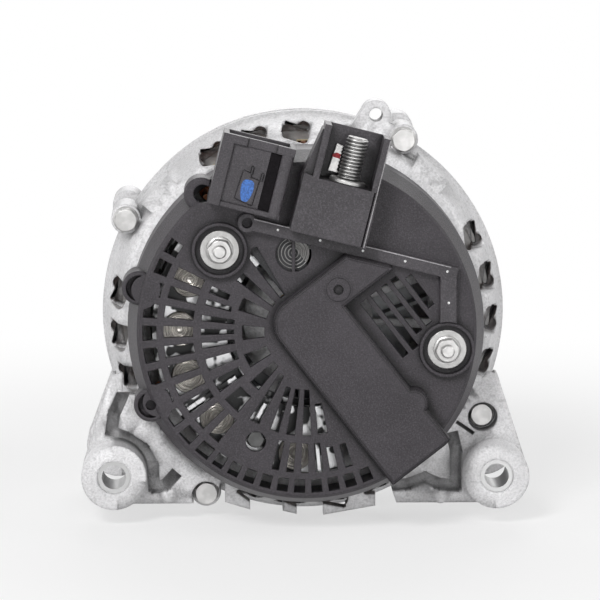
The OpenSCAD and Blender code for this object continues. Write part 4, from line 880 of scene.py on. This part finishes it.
class ALTERNATOR_OT_fasteners(bpy.types.Operator):
    """Replaces bolts, nuts and studs with chamfered and threaded ones"""
    bl_idname = "alternator.fasteners"
    bl_label = "Fasteners"

    def execute(self, context):
        metal = context.scene.alternator_metal
        sizes = context.scene.alternator_detail
        zinc = plated_finish("zinc_plating", metal.zinc_colour)
        dress(zinc, "retainer_screws")
        dress(plated_finish("washer_zinc", shade(metal.zinc_colour, 0.72), 0.3), "cover_washers")
        dress(plated_finish("dark_screws", (0.10, 0.10, 0.10)), "rectifier_screws")
        self.bolts(zinc)
        self.cover_fixings(zinc, sizes)
        return {"FINISHED"}

    def bolts(self, zinc, flange_radius=4.8, head=5, radius=2.44, thread=20):
        """Four flanged hexagon bolts; the solids' boxes give their length and their circle."""
        low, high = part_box("through_bolts")
        tip, top = foot_of("through_bolts"), top_of("through_bolts")
        reach = (high[0] - low[0]) * 500 - flange_radius
        circle = reach / math.cos(math.radians(BOLT_ANGLES[-1]))
        seat = top - head
        grids = (hexagon_block(8, seat + 1.3, top),
                 lathe([(4.75, seat + 0.02), (4.75, seat + 0.7), (4.2, seat + 1.4),
                        (3.6, seat + 1.5)]),
                 threaded(radius, tip, tip + thread, 0.8, 0.3, 24),
                 lathe([(radius, tip + thread - 0.1), (radius, seat + 0.1)], 24))
        shapes = []
        for index, angle in enumerate(BOLT_ANGLES):
            for grid in grids:
                shapes += ring_of(turned(grid, 12 + 31 * index), circle, [angle])
        piece("bolt_set", many(shapes), "housing", zinc, ["through_bolts"])

    def cover_fixings(self, zinc, sizes, flange_radius=5, radius=2.42):
        """Two studs with flange nuts in the cover's cups."""
        low, high = (corner * 1000 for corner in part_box("cover_nuts"))
        face, top = foot_of("cover_nuts"), top_of("cover_nuts")
        foot, tip = foot_of("cover_studs"), top_of("cover_studs")
        spots = ((low[0] + flange_radius, high[2] - SHAFT_Z - flange_radius, 0),
                 (high[0] - flange_radius, low[2] - SHAFT_Z + flange_radius, 0))
        nut = hexagon_block(8, face + 0.7, top)
        flange = lathe([(4.95, face + 0.02), (4.95, face + 0.5), (4.2, face + 1.0)])
        stud = threaded(radius, face + 0.2, tip, sizes.small_pitch * 1000, 0.32, 32, 0.5)
        shank = lathe([(radius, foot), (radius, face + 0.3)], 32)
        nuts, studs = [], []
        for index, spot in enumerate(spots):
            nuts += [skin(moved(turned(grid, 20 + 17 * index), spot)) for grid in (nut, flange)]
            studs += [skin(moved(grid, spot)) for grid in (stud, shank)]
        piece("cover_nut_set", many(nuts), "housing", zinc, ["cover_nuts"])
        piece("cover_stud_set", many(studs), "housing", zinc, ["cover_studs"])


class ALTERNATOR_OT_rectifier(bpy.types.Operator):
    """Finishes the heat sinks, diodes and the board between them"""
    bl_idname = "alternator.rectifier"
    bl_label = "Rectifier"

    def execute(self, context):
        metal = context.scene.alternator_metal
        # The sinks' large crisp dark patches are painted reflections of dark things
        dress(plated_finish("pressed_sink", metal.sink_colour, 0.36, blotch_and_reflection=0.05),
              "positive_heat_sink", "negative_heat_sink")
        cans = plated_finish("diode_cans", (0.58, 0.55, 0.51), 0.26)
        dress(cans, "negative_diodes")
        self.diodes(cans)
        dress(moulded_finish("board_plastic", (0.035, 0.03, 0.028), 0.0005), "phase_board",
              "stud_bushes")
        return {"FINISHED"}

    def diodes(self, finish, circle=46.0):
        """Six pressed diodes: a disc with turned rings on its face, a smaller can and a lead below."""
        foot, face = foot_of("positive_diodes"), top_of("positive_diodes")
        side = [(0.7, foot), (0.7, face - 7.0), (4.95, face - 7.0), (4.95, face - 6.2),
                (6.35, face - 6.2), (6.35, face - 0.5), (5.95, face)]
        rings = ringed(np.linspace(5.7, 0.8, 29), face, 0.16, 0.98)
        disc = lathe(np.concatenate([side, rings]), 56)
        piece("diode_set", many(ring_of(disc, circle, DIODE_ANGLES)), "housing",
              finish, ["positive_diodes"])


class ALTERNATOR_OT_brushes(bpy.types.Operator):
    """Finishes the regulator, its disc, the brush holder, the brushes and their springs"""
    bl_idname = "alternator.brushes"
    bl_label = "Regulator and brushes"

    def execute(self, context):
        dress(moulded_finish("regulator_plastic", (0.028, 0.028, 0.03), 0.0005), "regulator")
        dress(moulded_finish("holder_plastic", (0.08, 0.05, 0.035), 0.0006), "brush_holder")
        dress(carbon_finish("carbon", (0.035, 0.033, 0.032)), "outer_brush", "inner_brush")
        self.disc()
        wire = turned_finish("spring_wire", (0.6, 0.6, 0.6))
        for brush in ("outer_brush", "inner_brush"):
            self.spring(brush, wire)
        return {"FINISHED"}

    def disc(self, face=56.4, thickness=3.2, place=(-4.8, 28.3, 0)):
        """The ringed disc at the regulator's edge that shows through the half-moon holes."""
        side = [(0.7, face - thickness), (5.9, face - thickness), (5.9, face - 0.3)]
        rings = ringed(np.linspace(5.6, 0.6, 41), face, 0.22, 1.25, start=0.6)
        disc = lathe(np.concatenate([side, rings]), 56)
        piece("regulator_disc", skin(moved(disc, place)), "housing",
              plated_finish("disc_metal", (0.3, 0.295, 0.29)))

    def spring(self, brush, wire):
        """A brush's spring: a merged copy of its solid with a mesh of its own.

        The real spring shortens towards its seat as the brush slides out; the share of its length
        left at full travel is worked out here but not used, so the spring keeps its length.
        """
        slide = next(j for j in frame["joints"] if j["name"] == brush + "_slide")
        item = merged(brush + "_coil", brush + "_spring", wire, 60)
        axis = np.array(slide["axis"], float)
        points = np.empty(len(item.data.vertices) * 3, np.float32)
        item.data.vertices.foreach_get("co", points)
        along = points.reshape(-1, 3) @ axis
        length = along.max() - along.min()
        travel = max(abs(v) for v in slide["range_m"])
        float((length - travel) / length)
        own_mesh(item)


class ALTERNATOR_OT_rotor(bpy.types.Operator):
    """Finishes the claw poles, coil former, fans, slip rings and shaft"""
    bl_idname = "alternator.rotor"
    bl_label = "Rotor"

    def execute(self, context):
        metal = context.scene.alternator_metal
        dress(cast_finish("forged_pole", (0.20, 0.20, 0.21), 0.0012), "rear_claw_pole",
              "front_claw_pole")
        dress(paper_finish("coil_former", (0.66, 0.60, 0.45)), "coil_bobbin")
        # The fans are darker than bare steel: painted shade for where they sit deep behind the slots
        dress(plated_finish("fan_sheet", (0.24, 0.245, 0.25), 0.45), "rear_fan", "front_fan")
        dress(turned_finish("ring_copper", (0.62, 0.33, 0.16), 0.18), "slip_rings")
        dress(moulded_finish("ring_core", (0.16, 0.035, 0.02), 0.0006, roughness=0.3),
              "slip_ring_core")
        dress(turned_finish("ground_shaft", metal.steel_colour), "rotor_shaft", "spacer_collar")
        return {"FINISHED"}


class ALTERNATOR_OT_bearings(bpy.types.Operator):
    """Finishes both ball bearings, their cages, the sleeve and the retainer"""
    bl_idname = "alternator.bearings"
    bl_label = "Bearings"

    def execute(self, context):
        dress(turned_finish("bearing_steel", (0.62, 0.62, 0.63), 0.14), "front_bearing_outer",
              "front_bearing_inner", "front_bearing_balls", "rear_bearing_outer", "rear_bearing_inner",
              "rear_bearing_balls")
        dress(moulded_finish("cage_plastic", (0.34, 0.22, 0.09), 0.0008), "front_bearing_cage",
              "rear_bearing_cage")
        dress(moulded_finish("sleeve_plastic", (0.05, 0.07, 0.045), 0.0008), "rear_bearing_sleeve")
        dress(plated_finish("retainer_sheet", (0.44, 0.44, 0.45), 0.36), "bearing_retainer")
        return {"FINISHED"}


class ALTERNATOR_OT_pulley(bpy.types.Operator):
    """Finishes the belt pulley and its nut"""
    bl_idname = "alternator.pulley"
    bl_label = "Pulley"

    def execute(self, context):
        bench = Bench("coated_pulley")
        rings = bench.noise(0.0015, 3.0, 0.6, bench.stretched((0.05, 1.0, 0.05)))
        wear = bench.noise(0.008, 4.0, 0.6).step(0.55, 0.75)
        tone = bench.blend(wear * 0.4, (0.07, 0.07, 0.075), (0.2, 0.2, 0.2))
        bench.set(tone, 0.34 + rings * 0.2, 0.6)
        dress(bench.bump(rings, 0.00003), "pulley")
        dress(plated_finish("nut_plating", (0.4, 0.39, 0.37)), "pulley_nut")
        return {"FINISHED"}


class ALTERNATOR_PT_panel(bpy.types.Panel):
    """Lists the steps that dress the alternator"""
    bl_idname = "ALTERNATOR_PT_panel"
    bl_label = "Alternator"
    bl_space_type = "VIEW_3D"
    bl_region_type = "UI"
    bl_category = "Alternator"

    def draw(self, context):
        for group in GROUPS:
            box = self.layout.box()
            settings = getattr(context.scene, group)
            for key in settings.__annotations__:
                box.prop(settings, key)
        for step in STEPS:
            self.layout.operator(step.bl_idname)


STEPS = (ALTERNATOR_OT_stage, ALTERNATOR_OT_castings, ALTERNATOR_OT_stator, ALTERNATOR_OT_cover,
         ALTERNATOR_OT_terminals, ALTERNATOR_OT_fasteners, ALTERNATOR_OT_rectifier,
         ALTERNATOR_OT_brushes, ALTERNATOR_OT_rotor, ALTERNATOR_OT_bearings, ALTERNATOR_OT_pulley)
GROUPS = {"alternator_stage": StageSettings, "alternator_metal": MetalSettings,
          "alternator_plastic": PlasticSettings, "alternator_detail": DetailSettings}


def register():
    for group in GROUPS.values():
        bpy.utils.register_class(group)
    for name, group in GROUPS.items():
        setattr(bpy.types.Scene, name, PointerProperty(type=group))
    for step in STEPS:
        bpy.utils.register_class(step)
    bpy.utils.register_class(ALTERNATOR_PT_panel)


def unregister():
    bpy.utils.unregister_class(ALTERNATOR_PT_panel)
    for step in reversed(STEPS):
        bpy.utils.unregister_class(step)
    for name in GROUPS:
        delattr(bpy.types.Scene, name)
    for group in GROUPS.values():
        bpy.utils.unregister_class(group)


def main():
    register()
    bpy.ops.alternator.stage()
    bpy.ops.alternator.castings()
    bpy.ops.alternator.stator()
    bpy.ops.alternator.cover()
    bpy.ops.alternator.terminals()
    bpy.ops.alternator.fasteners()
    bpy.ops.alternator.rectifier()
    bpy.ops.alternator.brushes()
    bpy.ops.alternator.rotor()
    bpy.ops.alternator.bearings()
    bpy.ops.alternator.pulley()


if __name__ == "__main__":
    main()
